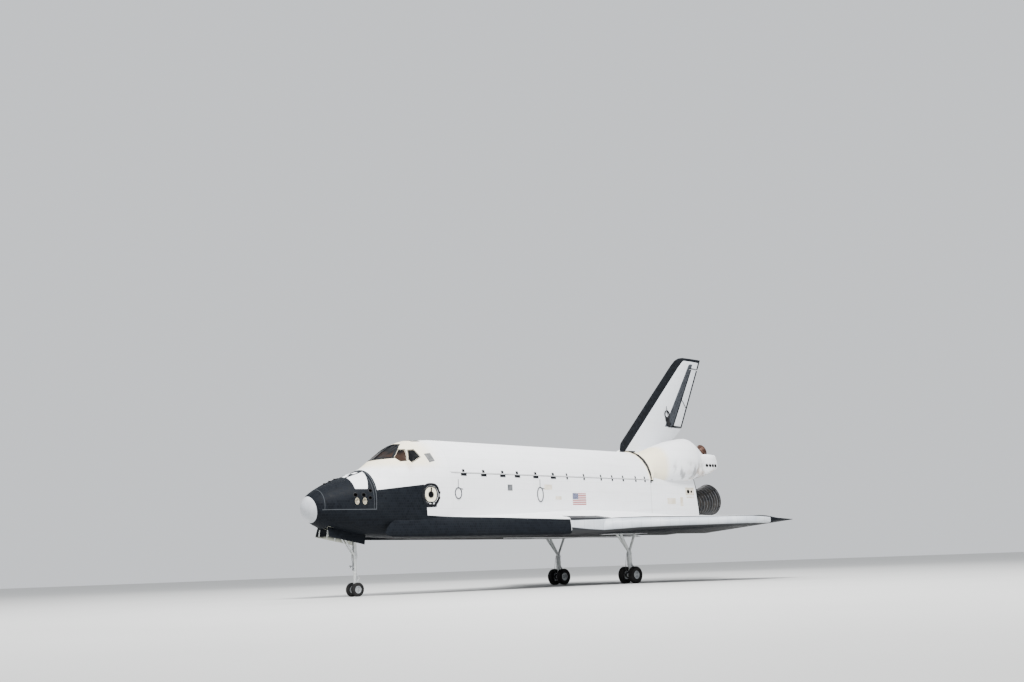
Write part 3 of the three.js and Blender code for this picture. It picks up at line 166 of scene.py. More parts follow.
class Shader:
    """One material's node tree. Here x is the place from the nose, and nx to nz face outward."""

    def __init__(self, name):
        self.material = bpy.data.materials.new(name)
        self.material.use_nodes = True
        self.tree = self.material.node_tree
        self.tree.nodes.clear()
        coords = self.node("TexCoord")
        self.place = Value(self, coords.outputs["Object"])
        self.scene_x, self.y, self.z = self.split(self.place)
        self.nx, self.ny, self.nz = self.split(Value(self, coords.outputs["Normal"]))
        self.x = self.scene_x - NOSE_X

    def node(self, kind, inputs=(), **settings):
        """A new node, with inputs by name or number."""
        made = self.tree.nodes.new("ShaderNode" + kind)
        for key, value in settings.items():
            setattr(made, key, value)
        for key, value in dict(inputs).items():
            if isinstance(value, Value):
                self.tree.links.new(value.socket, made.inputs[key])
            else:
                made.inputs[key].default_value = value
        return made

    def value(self, kind, inputs, output=0, **settings):
        return Value(self, self.node(kind, inputs, **settings).outputs[output])

    def split(self, vector):
        return [Value(self, part) for part in self.node("SeparateXYZ", {0: vector}).outputs]

    def mix(self, share, first, second):
        """One colour gives way to another as the share rises. Each is a value or sRGB parts."""
        first, second = (c if isinstance(c, Value) else colour(*c) for c in (first, second))
        return self.value("Mix", {0: share, 6: first, 7: second}, 2, data_type="RGBA")

    def blend(self, share, first, second):
        return self.value("Mix", {0: share, 2: first, 3: second}, data_type="FLOAT")

    def layered(self, base, *layers):
        """The base colour under layers, each a share and a colour."""
        for share, over in layers:
            base = self.mix(share, base, over)
        return base

    def noise(self, scale, detail=3.0, stretch=(1, 1, 1)):
        spread = self.value("Mapping", {0: self.place, 3: stretch})
        return self.value("TexNoise", {"Vector": spread, "Scale": scale, "Detail": detail})

    def line(self, value, points):
        """Height of a line of flat points, straight between them, at a value along it."""
        along, heights = zip(*points)
        first, span = along[0], along[-1] - along[0]
        low, rise = min(heights), max(heights) - min(heights)
        curve = self.node("FloatCurve", {1: (value - first) / span})
        spots = curve.mapping.curves[0].points
        while len(spots) < len(points):
            spots.new(0.5, 0.5)
        for spot, (place, height) in zip(spots, points):
            spot.location = ((place - first) / span, (height - low) / rise)
            spot.handle_type = "VECTOR"
        curve.mapping.update()
        return Value(self, curve.outputs[0]) * rise + low

    def beyond(self, line, up):
        """Distance to the right of a line of two flat points, from the nose and in the way that is up."""
        (x0, up0), (x1, up1) = line
        length = math.hypot(x1 - x0, up1 - up0)
        return (self.x - x0) * ((up1 - up0) / length) - (up - up0) * ((x1 - x0) / length)

    def tiles(self, width, height, seam):
        """Share of seam, and a grey that differs from tile to tile, laid flat on each face."""
        facing_side = abs(self.ny) > abs(self.nz)
        facing_end = abs(self.nx) > (abs(self.ny) | abs(self.nz))
        flat = self.value("CombineXYZ", {
            0: self.blend(facing_end, self.scene_x, self.y),
            1: self.blend(facing_side | facing_end, self.y, self.z),
        })
        bricks = self.node("TexBrick", {
            "Vector": flat, "Scale": 1.0, "Brick Width": width, "Row Height": height,
            "Color1": (0, 0, 0, 1), "Color2": (1, 1, 1, 1), "Mortar": (0.5, 0.5, 0.5, 1),
            "Mortar Size": seam, "Mortar Smooth": 0.2,
        })
        return Value(self, bricks.outputs["Fac"]), Value(self, bricks.outputs["Color"])

    def bump(self, height, distance, strength):
        return self.value("Bump", {"Height": height, "Distance": distance, "Strength": strength})

    def done(self, base, roughness, relief=None, **constants):
        inputs = {key.replace("_", " "): value for key, value in constants.items()}
        inputs.update({"Base Color": base, "Roughness": roughness})
        if relief is not None:
            inputs["Normal"] = relief
        self.node("OutputMaterial", {0: self.value("BsdfPrincipled", inputs)})
        return self.material


def tiled(s, black, light):
    """Base colour, roughness and relief of a skin: black tile where black is 1, light quilt elsewhere."""
    seam, each = s.tiles(*TILE)
    quilt_seam, quilt = s.tiles(*QUILT)
    stain = s.noise(0.55, 4.0, (0.35, 1, 1.6))
    streak = s.noise(1.6, 3.0, (0.12, 1, 2.4))
    grain = s.noise(38.0, 2.0)
    pale = s.layered(
        light,
        (stain.rise(0.48, 0.8) * 0.22, (196, 194, 190)),
        (streak.rise(0.55, 0.8) * 0.14, (176, 172, 164)),
        (quilt * 0.07, (206, 208, 212)),
        (quilt_seam * 0.3, (170, 170, 170)),
    )
    coal = s.layered(
        BLACK,
        (each * 0.4, (29, 33, 39)),
        (stain.rise(0.5, 0.85) * 0.2, (46, 48, 49)),
        (seam * 0.14, (84, 86, 84)),
    )
    rough = s.blend(black, 0.62, each * 0.14 + 0.5)
    height = s.blend(black, grain * 0.5 - quilt_seam, grain * 0.15 - seam)
    return s.mix(black, pale, coal), rough, s.bump(height, 0.004, 0.6)


def tiled_skin(s, black, light, *layers):
    """The finished skin, with further layers of colour on it."""
    base, rough, relief = tiled(s, black, light)
    return s.done(s.layered(base, *layers), rough, relief, Specular_IOR_Level=MATT)


def hull_skin():
    s = Shader("hull_skin")
    side_black = ~s.z.past(s.line(s.x, BLACK_EDGE))
    forward_top = (s.x - FORWARD_EDGE["x"]) * FORWARD_EDGE["slope"] + FORWARD_EDGE["z"]
    forward_rear = (s.z - FORWARD_END["z"]) * FORWARD_END["slope"] + FORWARD_END["x"]
    forward_black = ~s.z.past(forward_top) & ~s.x.past(forward_rear)
    collar = s.x.fall(3.84, 3.86) & s.z.rise(4.9, 4.95)
    base_plate = s.nx.rise(0.6, 0.75) & s.x.rise(30.0, 30.4)
    base_edge = ((s.z - 7.08) * 0.145 + s.x).rise(31.82, 31.84) & s.z.fall(7.4, 7.42)
    frame_reach = abs(s.y) - s.line(s.z, FRONT_FRAME)
    front_frame = frame_reach.fall(-0.01, 0.01) & s.z.rise(8.0, 8.02) & s.x.fall(6.3, 6.35)
    black = side_black | forward_black | base_plate | base_edge | collar | front_frame
    around_windows = s.z.rise(7.25, 7.75) & s.x.fall(6.9, 8.6)
    streak = s.x.band(5.95, 6.35, 0.12) & s.z.band(7.25, 7.75, 0.2) & s.noise(4.0, 3.0)
    light = s.layered(WHITE, (around_windows * 0.8, CREAM), (streak * 0.6, (176, 142, 104)))
    low_joint = s.z.band(4.915, 4.935, 0.006) & s.x.fall(3.74, 3.75)
    front_joint = s.x.band(3.745, 3.765, 0.006) & s.z.rise(4.9, 4.93)
    aft_joint = s.x.band(27.153, 27.18, 0.006) & s.z.fall(7.08, 7.12)
    facing_out = s.ny * s.y + s.nz * (s.z - 5.6)
    inside = facing_out.fall(-0.35, -0.25) & s.x.fall(29.0, 29.2)
    return tiled_skin(s, black, light, ((low_joint | front_joint) * 0.4, (140, 144, 148)),
                      (aft_joint * 0.75, (96, 98, 102)), (inside, LINER))


def module_skin():
    """Black tiles with a pale patch on each shoulder, and a checked panel on top between thin seams."""
    s = Shader("module_skin")
    out = abs(s.y)
    patch_rear = (s.z - 6.158) * 0.352 + 3.33
    patch = (s.x.rise(2.6, 2.62) & (s.x - patch_rear).fall(-0.01, 0.01) & s.z.rise(6.1, 6.125)
             & out.rise(0.6, 0.62))
    row = (s.x / 0.32).floor()
    column = ((s.y + 0.15) / 0.3).floor()
    checks = ((row + column) % 2.0) & s.x.band(2.56, 3.5, 0.01) & out.fall(0.44, 0.46)
    front_seam = s.x.band(0.815, 0.84, 0.006) & s.z.rise(4.92, 4.95)
    seams = front_seam | s.x.band(3.6, 3.625, 0.006) | s.z.fall(4.94, 4.955)
    return tiled_skin(s, ~(patch | checks), WHITE, (seams * 0.3, (112, 116, 120)))


def nose_cap_shell():
    """Pale dome at the very front, and dark tiles behind it."""
    s = Shader("nose_cap_shell")
    cloud = s.noise(1.4, 5.0)
    end = (s.z - DOME_END["z"]) * DOME_END["slope"] + DOME_END["x"]
    black = (s.x - end).rise(-0.01, 0.01)
    base, rough, relief = tiled(s, 1.0, WHITE)
    dome = s.mix(cloud.rise(0.3, 0.75), (178, 181, 186), (202, 204, 208))
    return s.done(s.mix(black, dome, base), s.blend(black, cloud * 0.2 + 0.32, rough), relief,
                  Specular_IOR_Level=MATT)


def hatch_skin():
    s = Shader("hatch_skin")
    cloud = s.noise(2.4, 4.0)
    base = s.mix(cloud.rise(0.35, 0.75), (238, 232, 208), (222, 212, 184))
    across = (s.x - HATCH[0]) / 0.4
    up = (s.z - HATCH[1]) / 0.43
    edge = (abs(across) ** 2.4 + abs(up) ** 2.4).rise(0.97, 1.03)
    return s.done(s.mix(edge, base, BLACK), cloud * 0.2 + 0.5, s.bump(s.noise(38.0, 2.0), 0.002, 0.5))


def wing_skin():
    s = Shader("wing_skin")
    out = abs(s.y)
    glove = ~s.z.past(s.line(s.x, BLACK_EDGE)) & s.x.fall(17.10, 17.16)
    under = s.nz.fall(-0.12, -0.02)
    tip = out.rise(11.6, 11.62)
    swept = s.beyond(SWEPT_LINE, out).band(0.43, 0.56, 0.015) & s.x.rise(19.5, 19.7)
    along_glove = (s.beyond(GLOVE_LINE, out).band(0.43, 0.66, 0.02)
                   & s.x.rise(16.9, 17.1) & s.x.fall(19.7, 19.9))
    line = (swept | along_glove) & s.x.fall(28.3, 28.5)
    return tiled_skin(s, glove | under | tip | line, WHITE)


def edge_panels():
    """Pale panels along the wing's front, parted by thin joints."""
    s = Shader("edge_panels")
    cloud = s.noise(0.9, 4.0)
    along = (s.x + abs(s.y)) * math.sqrt(0.5)
    joint = ~(along / 0.62).fract().band(0.02, 0.98, 0.01)
    above = (s.z - s.line(s.x, EDGE_TOP)).rise(-0.01, 0.01)
    # Below the lower line the panels are painted black, partly as black tile and partly as painted shade
    below = (s.z - s.line(s.x, EDGE_LOW)).fall(-0.03, 0.03)
    base = s.mix(cloud.rise(0.35, 0.75), (180, 186, 194), (203, 207, 212))
    base = s.layered(base, (joint * 0.35, (110, 114, 120)), (above | below, BLACK))
    return s.done(base, cloud * 0.2 + 0.4, s.bump(~joint, 0.004, 0.5), Coat_Weight=0.08)


def fin_skin():
    s = Shader("fin_skin")
    tip = s.z.rise(16.97, 17.0)
    foot = s.z.fall(9.48, 9.52) & s.x.fall(28.4, 28.44)
    trail = (s.x - s.line(s.z, FIN_REAR)).rise(-0.205, -0.19) & s.z.rise(RUDDER_FOOT, 11.55)
    top_line = s.z.band(16.34, 16.47, 0.01) & s.x.rise(35.7, 35.75)
    sill = s.z.band(RUDDER_FOOT, 11.67, 0.01) & s.x.rise(32.4, 32.5)
    behind = s.beyond(BAND_REAR, s.z)
    above_sill = s.z.rise(RUDDER_FOOT, 11.56)
    band = (s.beyond(BAND_FRONT, s.z).rise(-SOFT, SOFT) & behind.fall(-SOFT, SOFT)
            & above_sill & s.z.fall(16.75, 16.8))
    rubbed = s.mix(s.noise(1.6, 3.0), (50, 53, 58), (76, 79, 84))
    edge_line = behind.band(-0.05, 0.07, 0.01) & above_sill & s.z.fall(16.4, 16.45)
    return tiled_skin(s, tip | foot | trail | sill | top_line, (222, 225, 229),
                      (band, rubbed), (edge_line, BLACK))


def pod_skin():
    s = Shader("pod_skin")
    front = s.x.fall(28.5, 29.1)
    lump = s.noise(2.2, 5.0, (1.0, 1.0, 0.45))
    smudge = lump.rise(0.46, 0.66) & s.z.fall(7.9, 8.8) & s.x.rise(28.9, 29.4) & s.x.fall(32.0, 32.6)
    scorch = s.noise(1.4, 4.0).rise(0.42, 0.6) & s.z.fall(7.7, 8.5) & s.x.rise(30.2, 30.9)
    light = s.layered(WHITE, (front * 0.85, CREAM), (smudge * 0.7, (122, 122, 122)),
                      (scorch * 0.4, (188, 158, 126)))
    return tiled_skin(s, 0.0, light)


def glass():
    s = Shader("window_glass")
    # The brown on the lower part of the forward panes is a painted reflection; the rest of the glass is
    # near black
    low = (s.z + s.noise(1.2, 3.0)).fall(8.75, 9.1)
    brown = s.x.rise(5.0, 5.6) & low & (s.x - s.z * 0.4).fall(2.98, 3.0)
    return s.done(s.mix(brown, (6, 7, 9), (46, 33, 26)), 0.28, Specular_IOR_Level=0.12, IOR=1.45)


def bell_metal():
    s = Shader("bell_metal")
    cloud = s.noise(2.2, 5.0)
    base = s.mix(cloud.rise(0.3, 0.75), (26, 27, 30), (62, 58, 54))
    return s.done(base, cloud * 0.25 + 0.32, s.bump(cloud, 0.003, 0.3), Metallic=0.55)


def flag_cloth():
    """Thirteen stripes, with a dark blue corner that carries pale dots."""
    s = Shader("striped_panel")
    (left, top), (right, foot) = FLAG[0], FLAG[2]
    across = (s.x - left) / (right - left)
    up = (s.z - foot) / (top - foot)
    stripe = (up * 6.5).fract() < 0.58
    corner = (across < 0.42) & (up > 0.46)
    u = (across * 16.0).fract() - 0.5
    v = (up * 12.0).fract() - 0.5
    dots = (u * u + v * v) < 0.03
    cloud = s.noise(5.0, 4.0)
    stripes = s.mix(stripe, (226, 222, 222), (158, 26, 36))
    field = s.mix(dots, (26, 40, 92), (220, 222, 228))
    base = s.layered(stripes, (corner, field), (cloud * 0.2, (200, 198, 196)))
    return s.done(base, cloud * 0.2 + 0.5, s.bump(s.noise(50.0, 2.0), 0.0006, 0.4))


def plain(name, dark, pale, roughness, metal, scale, coat=0.0, grain=60.0, depth=0.0008):
    """One finish that varies softly between two colours, with fine grain."""
    s = Shader(name)
    cloud = s.noise(scale, 5.0)
    base = s.mix(cloud.rise(0.3, 0.72), dark, pale)
    relief = s.bump(s.noise(grain, 2.0), depth, 0.5)
    return s.done(base, cloud * 0.25 + (roughness - 0.12), relief,
                  Metallic=metal, Coat_Weight=coat, Specular_IOR_Level=0.15)


# Plain finishes: key, name, both ends of the colour, roughness, metal, scale of the clouds
PLAIN = [
    ("carbon", "carbon_strip", (9, 11, 14), (20, 23, 28), 0.5, 0.0, 6.0),
    ("tile", "black_tile", (9, 11, 14), (20, 23, 28), 0.5, 0.0, 3.0),
    ("seal", "dark_seal", (20, 21, 24), (40, 40, 42), 0.6, 0.0, 5.0),
    ("strip", "grey_strip", (50, 53, 58), (76, 79, 84), 0.6, 0.0, 2.0),
    ("vent", "vent_slats", (116, 117, 116), (146, 146, 143), 0.5, 0.1, 4.0),
    ("vent_dark", "vent_backing", (86, 88, 92), (116, 118, 120), 0.6, 0.1, 4.0),
    ("cream", "cream_panel", (206, 198, 172), (226, 220, 200), 0.6, 0.0, 4.0),
    ("beige", "beige_panel", (212, 200, 180), (232, 224, 210), 0.65, 0.0, 3.0),
    ("scoop", "scoop_lining", (140, 134, 118), (182, 174, 154), 0.6, 0.0, 9.0),
    ("nozzle", "dark_nozzle", (10, 10, 12), (30, 29, 28), 0.5, 0.5, 10.0),
    ("hose", "hose_rubber", (58, 60, 62), (86, 86, 86), 0.6, 0.0, 9.0),
    ("band", "bell_bands", (84, 86, 90), (124, 124, 126), 0.45, 0.5, 3.0),
    ("bell_brown", "brown_bell", (58, 40, 34), (88, 66, 56), 0.45, 0.4, 4.0),
    ("liner_metal", "bell_liner", (72, 70, 68), (112, 108, 104), 0.4, 0.7, 3.0),
    ("bolt", "bolt_steel", (120, 122, 124), (160, 160, 160), 0.35, 0.8, 20.0),
    ("liner", "bay_liner", (196, 198, 184), (216, 216, 204), 0.7, 0.0, 2.0),
    ("radiator", "radiator_silver", (190, 194, 198), (222, 224, 226), 0.25, 0.7, 1.0),
    ("deck", "cabin_metal", (120, 126, 128), (150, 154, 154), 0.5, 0.3, 6.0),
    ("gear", "gear_paint", (176, 180, 182), (206, 208, 206), 0.42, 0.1, 4.0),
    ("wheel", "wheel_metal", (150, 153, 156), (186, 188, 190), 0.35, 0.7, 8.0),
    ("rubber", "tyre_rubber", (22, 22, 24), (40, 39, 38), 0.85, 0.0, 5.0),
    ("spine", "rudder_metal", (50, 53, 58), (76, 79, 84), 0.5, 0.3, 6.0),
]
EXTRAS = {"tile": {"grain": 40.0}, "gear": {"coat": 0.15}, "rubber": {"grain": 90.0, "depth": 0.0012}}
MATERIALS = {
    "hull": hull_skin(), "module": module_skin(), "cap": nose_cap_shell(), "hatch": hatch_skin(),
    "wing": wing_skin(), "edge": edge_panels(), "fin": fin_skin(), "pod": pod_skin(), "glass": glass(),
    "bell": bell_metal(), "flag": flag_cloth(),
}
for key, *look in PLAIN:
    MATERIALS[key] = plain(*look, **EXTRAS.get(key, {}))

# Finish of each node by the start of its name, where the longest start that fits counts
FINISH = {
    "nose_cap": "cap", "forward_thruster": "module", "forward_fuselage": "hull", "mid_fuselage": "hull",
    "aft_fuselage": "hull", "payload_door": "hull", "nose_door": "hull", "flight_deck": "deck",
    "windshield_glass": "glass", "overhead_glass": "glass", "aft_window_glass": "glass",
    "crew_hatch": "hatch", "wing_": "wing", "elevon_": "wing", "body_flap": "wing",
    "leading_edge_": "edge", "vertical_fin": "fin", "fin_leading_edge": "carbon",
    "rudder_": "fin", "rudder_spine": "spine", "main_engine": "bell", "pod_engine": "bell",
    "pod_": "pod", "nose_strut": "gear", "nose_fork": "gear", "main_strut": "gear",
    "nose_wheels": "wheel", "main_left_wheels": "wheel", "main_right_wheels": "wheel",
    "nose_tyre": "rubber", "main_left_tyre": "rubber", "main_right_tyre": "rubber",
}


def finish_of(node):
    start = max((s for s in FINISH if node.startswith(s)), key=len)
    return MATERIALS[FINISH[start]]


def smoothing(degrees):
    """A modifier tree that joins split corners and shades smooth across all but the sharp edges."""
    tree = bpy.data.node_groups.new("smooth_to_%d" % degrees, "GeometryNodeTree")
    for way in ("INPUT", "OUTPUT"):
        tree.interface.new_socket("Geometry", in_out=way, socket_type="NodeSocketGeometry")
    start, end, weld, angle, sharp, normals = (tree.nodes.new(kind) for kind in (
        "NodeGroupInput", "NodeGroupOutput", "GeometryNodeMergeByDistance",
        "GeometryNodeInputMeshEdgeAngle", "FunctionNodeCompare", "GeometryNodeSetMeshNormal",
    ))
    weld.inputs["Distance"].default_value = 0.00002
    sharp.operation = "GREATER_THAN"
    sharp.inputs[1].default_value = math.radians(degrees)
    normals.mode = "SHARPNESS"
    normals.inputs["Remove Custom"].default_value = True
    normals.inputs["Face Sharpness"].default_value = False
    for source, target in (
        (angle.outputs["Unsigned Angle"], sharp.inputs[0]), (start.outputs[0], weld.inputs["Geometry"]),
        (weld.outputs[0], normals.inputs["Mesh"]), (sharp.outputs[0], normals.inputs["Edge Sharpness"]),
        (normals.outputs[0], end.inputs[0]),
    ):
        tree.links.new(source, target)
    return tree


SMOOTH = smoothing(32)
for name, node in NODES.items():
    node.data.materials.clear()
    node.data.materials.append(finish_of(name))
    node.modifiers.new("smooth", "NODES").node_group = SMOOTH


# Fine pieces. Each shape is a pair: its points, and its faces as numbers of points.
AIRFRAME = "airframe"
SIDES = ((-1, "left"), (1, "right"))
ACROSS = Vector((0, 1, 0))
UP = Vector((0, 0, 1))
CORNERS = ((-1, -1), (1, -1), (1, 1), (-1, 1))
# Height of the line that the payload doors are round about
DOOR_LINE = 6.706
# Depth to which a plate sinks into the skin, the same for a rim, and depth and thickness of a pane
SINK = 0.012
RIM_SINK = 0.03
PANE = 0.012


def at(from_nose, y, z):
    return Vector((NOSE_X + from_nose, y, z))


def polar(radius, angle):
    return radius * math.cos(angle), radius * math.sin(angle)


def turns(count):
    return [2 * math.pi * k / count for k in range(count)]


def add_piece(name, body, finish, *shapes):
    """One piece of the scene made of closed shapes, with their faces turned outward."""
    points, faces = [], []
    for more_points, more_faces in shapes:
        faces += [[len(points) + k for k in face] for face in more_faces]
        points += more_points
    mesh = bpy.data.meshes.new(name)
    mesh.from_pydata([tuple(p) for p in points], [], faces)
    work = bmesh.new()
    work.from_mesh(mesh)
    bmesh.ops.remove_doubles(work, verts=work.verts, dist=1e-6)
    bmesh.ops.recalc_face_normals(work, faces=work.faces)
    work.to_mesh(mesh)
    work.free()
    made = bpy.data.objects.new(name, mesh)
    bpy.context.scene.collection.objects.link(made)
    mesh.materials.append(MATERIALS[finish])
    made.modifiers.new("smooth", "NODES").node_group = SMOOTH
    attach(made, body)
    return made


def resampled(line, step):
    """Points along a line of flat points, no further apart than the step."""
    made = [Vector(line[0])]
    for start, end in zip(line, line[1:]):
        start, end = Vector(start), Vector(end)
        count = max(1, math.ceil((end - start).length / step))
        made += [start.lerp(end, k / count) for k in range(1, count + 1)]
    return made


def beside(line, k, closed):
    """The points before and after a point of a line, or the point itself at an open end."""
    before = line[k - 1] if k or closed else line[k]
    after = line[(k + 1) % len(line)] if k < len(line) - 1 or closed else line[k]
    return before, after


def offset(line, distance, closed=False):
    """The line moved sideways in its own plane, with mitred corners."""
    made = []
    for k, point in enumerate(line):
        before, after = beside(line, k, closed)
        first = (point - before).normalized() if point != before else None
        second = (after - point).normalized() if after != point else None
        first, second = first or second, second or first
        tilt = (first + second).normalized()
        made.append(point + Vector((-tilt.y, tilt.x)) * (distance / max(0.4, tilt.dot(first))))
    return made


def grown(outline, step, *reaches):
    """Closed flat lines at distances outside an outline, their points no further apart than the step."""
    points = [Vector(p) for p in outline]
    area = sum(a.x * b.y - b.x * a.y for a, b in zip(points, points[1:] + points[:1]))
    if area > 0:
        points.reverse()
    dense = resampled([*points, points[0]], step)[:-1]
    return [offset(dense, reach, closed=True) for reach in reaches]


def circle(centre, radius, count=40, tall=1.0, power=2.0):
    """Flat closed line: a circle, or an oval with squarer corners as the power grows."""
    made = []
    for c, s in (polar(1, angle) for angle in turns(count)):
        made.append(Vector((
            centre[0] + radius * math.copysign(abs(c) ** (2 / power), c),
            centre[1] + radius * tall * math.copysign(abs(s) ** (2 / power), s),
        )))
    return made


def slab(tops, feet, count, loop=False, filled=False):
    """Closed plate between two grids of points, given row after row, its last row filled in if asked."""
    under = len(tops)
    rows = under // count
    spans = [(j, (j + 1) % count) for j in range(count if loop else count - 1)]
    faces = []
    for start in range(0, under - count, count):
        for j, after in spans:
            a, b = start + j, start + after
            faces.append((a, b, b + count, a + count))
            faces.append((under + a, under + a + count, under + b + count, under + b))
    for start in (0,) if filled else (0, under - count):
        for j, after in spans:
            a, b = start + j, start + after
            faces.append((a, b, under + b, under + a))
    if not loop:
        for j in (0, count - 1):
            walls = [(i * count + j, (i + 1) * count + j) for i in range(rows - 1)]
            faces += [(a, b, under + b, under + a) for a, b in walls]
    if filled:
        inner = range(under - count, under)
        faces += [tuple(inner), tuple(under + k for k in reversed(inner))]
    return tops + feet, faces


@cache
def skin_of(*names):
    """The surface of some solids, for casting rays on."""
    points, faces = [], []
    for name in names:
        node = NODES[name]
        faces += [[len(points) + k for k in p.vertices] for p in node.data.polygons]
        points += [node.matrix_world @ v.co for v in node.data.vertices]
    return BVHTree.FromPolygons(points, faces)


class Cast:
    """Flat points that are laid out in space and cast on the skin of some solids."""

    def __init__(self, lay, aim, *nodes):
        self.lay = lay
        self.aim = aim
        self.skin = skin_of(*nodes)

    def hit(self, flat):
        """Place on the skin and its outward normal, or None where the ray misses."""
        point = self.lay(flat)
        along = self.aim(point)
        place, normal, _, _ = self.skin.ray_cast(point, along)
        return place and (place, normal if normal.dot(along) < 0 else -normal)

    def drape(self, rows, lift, loop=False, sink=SINK):
        """Plate that follows the skin under rows of flat points, standing proud by the lift."""
        hits = [self.hit(p) for row in rows for p in row]
        tops = [place + normal * lift for place, normal in hits]
        feet = [place - normal * sink for place, normal in hits]
        return slab(tops, feet, len(rows[0]), loop)

    def band(self, line, width, lift, step=0.12):
        """Raised band along a line of flat points."""
        points = resampled(line, step)
        return self.drape([offset(points, shift) for shift in (-width / 2, width / 2)], lift)

    def plate(self, corners, lift, across, along):
        """Raised plate between four flat corners, in a number of cells across and along."""
        a, b, c, d = (Vector(corner) for corner in corners)
        rows = []
        for i in range(across + 1):
            start, end = a.lerp(d, i / across), b.lerp(c, i / across)
            rows.append([start.lerp(end, j / along) for j in range(along + 1)])
        return self.drape(rows, lift)

    def ring(self, inner, outer, lift):
        return self.drape([inner, outer], lift, loop=True)

    def rim(self, outline, near, far, lift):
        """Raised band round an opening, from one distance outside its edge to another."""
        return self.drape(grown(outline, 0.09, near, far), lift, loop=True, sink=RIM_SINK)

    def pane(self, outline):
        """Thin pane that closes an opening, a little below the skin round it."""
        hits = [self.hit(p) for p in grown(outline, 0.15, 0.012)[0]]
        normal = sum((n for _, n in hits), Vector()).normalized()
        edge = [place - normal * PANE for place, _ in hits]
        middle = sum(edge, Vector()) / len(edge)
        tops = [p.lerp(middle, share) for share in (0.0, 0.4, 0.8) for p in edge]
        return slab(tops, [p - normal * PANE for p in tops], len(edge), loop=True, filled=True)


def from_side(side, *nodes):
    """Casts flat points (from the nose, height) level toward the middle plane."""
    return Cast(lambda p: at(p[0], side * 8, p[1]), lambda point: -side * ACROSS, *nodes)


def from_front(side, *nodes):
    """Casts flat points (y on the port side, height) aft."""
    return Cast(lambda p: at(4.6, -side * p[0], p[1]), lambda point: Vector((1, 0, 0)), *nodes)


def from_above(*nodes):
    """Casts flat points (from the nose, y) down."""
    return Cast(lambda p: at(p[0], p[1], 30), lambda point: -UP, *nodes)


def from_round(side, radius, way, *nodes):
    """Casts flat points (from the nose, degrees above level) from or to the doors' line."""
    def lay(p):
        y, z = polar(radius, math.radians(p[1]))
        return at(p[0], side * y, DOOR_LINE + z)

    return Cast(lay, lambda point: way * Vector((0, point.y, point.z - DOOR_LINE)).normalized(), *nodes)


def wrapped(rows, sides, closed):
    """Faces that join rings of points one after another."""
    faces = []
    for i in range(rows if closed else rows - 1):
        for j in range(sides):
            a, b = i * sides + j, i * sides + (j + 1) % sides
            faces.append((a, b, (b + sides) % (rows * sides), (a + sides) % (rows * sides)))
    return faces


def lathe(profile, centre, along, sides, closed=False):
    """Profile of (radius, distance along the axis) turned about the axis."""
    turn = along.to_track_quat("Z", "X")
    points = [centre + turn @ Vector((*polar(radius, angle), distance))
              for radius, distance in profile for angle in turns(sides)]
    return points, wrapped(len(profile), sides, closed)


def smooth_path(points, steps=8, closed=False):
    """Points along a smooth curve that passes through the given ones."""
    lead, trail = (points[-1:], points[:2]) if closed else (points[:1], points[-1:])
    path = [*lead, *points, *trail]
    made = []
    for a, b, c, d in zip(path, path[1:], path[2:], path[3:]):
        for t in (step / steps for step in range(steps)):
            made.append(0.5 * (2 * b + (c - a) * t + (2 * a - 5 * b + 4 * c - d) * t ** 2
                               + (3 * b - a - 3 * c + d) * t ** 3))
    return made if closed else [*made, points[-1]]


def tube(points, radius, sides, closed=False):
    """Round bar along a path, its ends drawn in."""
    rings = []
    u = None
    for k, point in enumerate(points):
        before, after = beside(points, k, closed)
        along = (after - before).normalized()
        u = u or along.orthogonal().normalized()
        u = (u - along * u.dot(along)).normalized()
        rings.append((point, radius, u, along.cross(u)))
    if not closed:
        for end, inner in ((0, 1), (-1, -2)):
            point, _, u, v = rings[end]
            away = (points[end] - points[inner]).normalized()
            dome = [(point + away * radius * rise, radius * share, u, v)
                    for rise, share in ((0.5, 0.86), (0.87, 0.5), (1.0, 0.0))]
            rings = dome[::-1] + rings if end == 0 else rings + dome
    made = []
    for point, wide, u, v in rings:
        made += [point + u * c + v * s for c, s in (polar(wide, angle) for angle in turns(sides))]
    return made, wrapped(len(rings), sides, closed)


def bar(start, end, radius, sides):
    return tube([start, start.lerp(end, 0.5), end], radius, sides)


def side_oval(centre, wide, high):
    """Closed path round a place, upright and fore and aft."""
    ring = [centre + Vector((wide * c, 0, high * s)) for c, s in (polar(1, angle) for angle in turns(16))]
    return smooth_path(ring, 4, closed=True)


def chamfered(low, high, bevel):
    """Box with its edges cut off all round."""
    work = bmesh.new()
    bmesh.ops.create_cube(work, size=1.0)
    for vertex in work.verts:
        vertex.co = low + (vertex.co + Vector((0.5, 0.5, 0.5))) * (high - low)
    bmesh.ops.bevel(work, geom=work.edges[:], offset=bevel, segments=2, affect="EDGES", profile=0.6)
    work.verts.index_update()
    made = [v.co.copy() for v in work.verts], [tuple(v.index for v in f.verts) for f in work.faces]
    work.free()
    return made


# Cabin: window panes as (y, height), (from the nose, height) and (from the nose, y), and the side vent
CABIN = "forward_fuselage"
FRONT_PANE = [(-0.05, 8.04), (-1.196, 8.074), (-0.861, 8.642), (-0.585, 8.88), (-0.05, 8.93)]
SIDE_PANES = [
    [(6.045, 8.56), (6.328, 8.547), (6.06, 7.841), (5.703, 7.814), (5.547, 8.073)],
    [(6.441, 8.503), (6.803, 8.543), (6.945, 8.076), (6.334, 7.74), (6.187, 7.898)],
]
OVERHEAD = [(7.35, 0.2), (7.85, 0.2), (7.85, 0.72), (7.35, 0.72)]
WINDOW_POST = [(0.0, 7.98), (0.0, 9.0)]
LOUVRE = [(7.295, 8.257), (7.74, 8.323), (7.837, 7.856), (7.453, 7.756)]


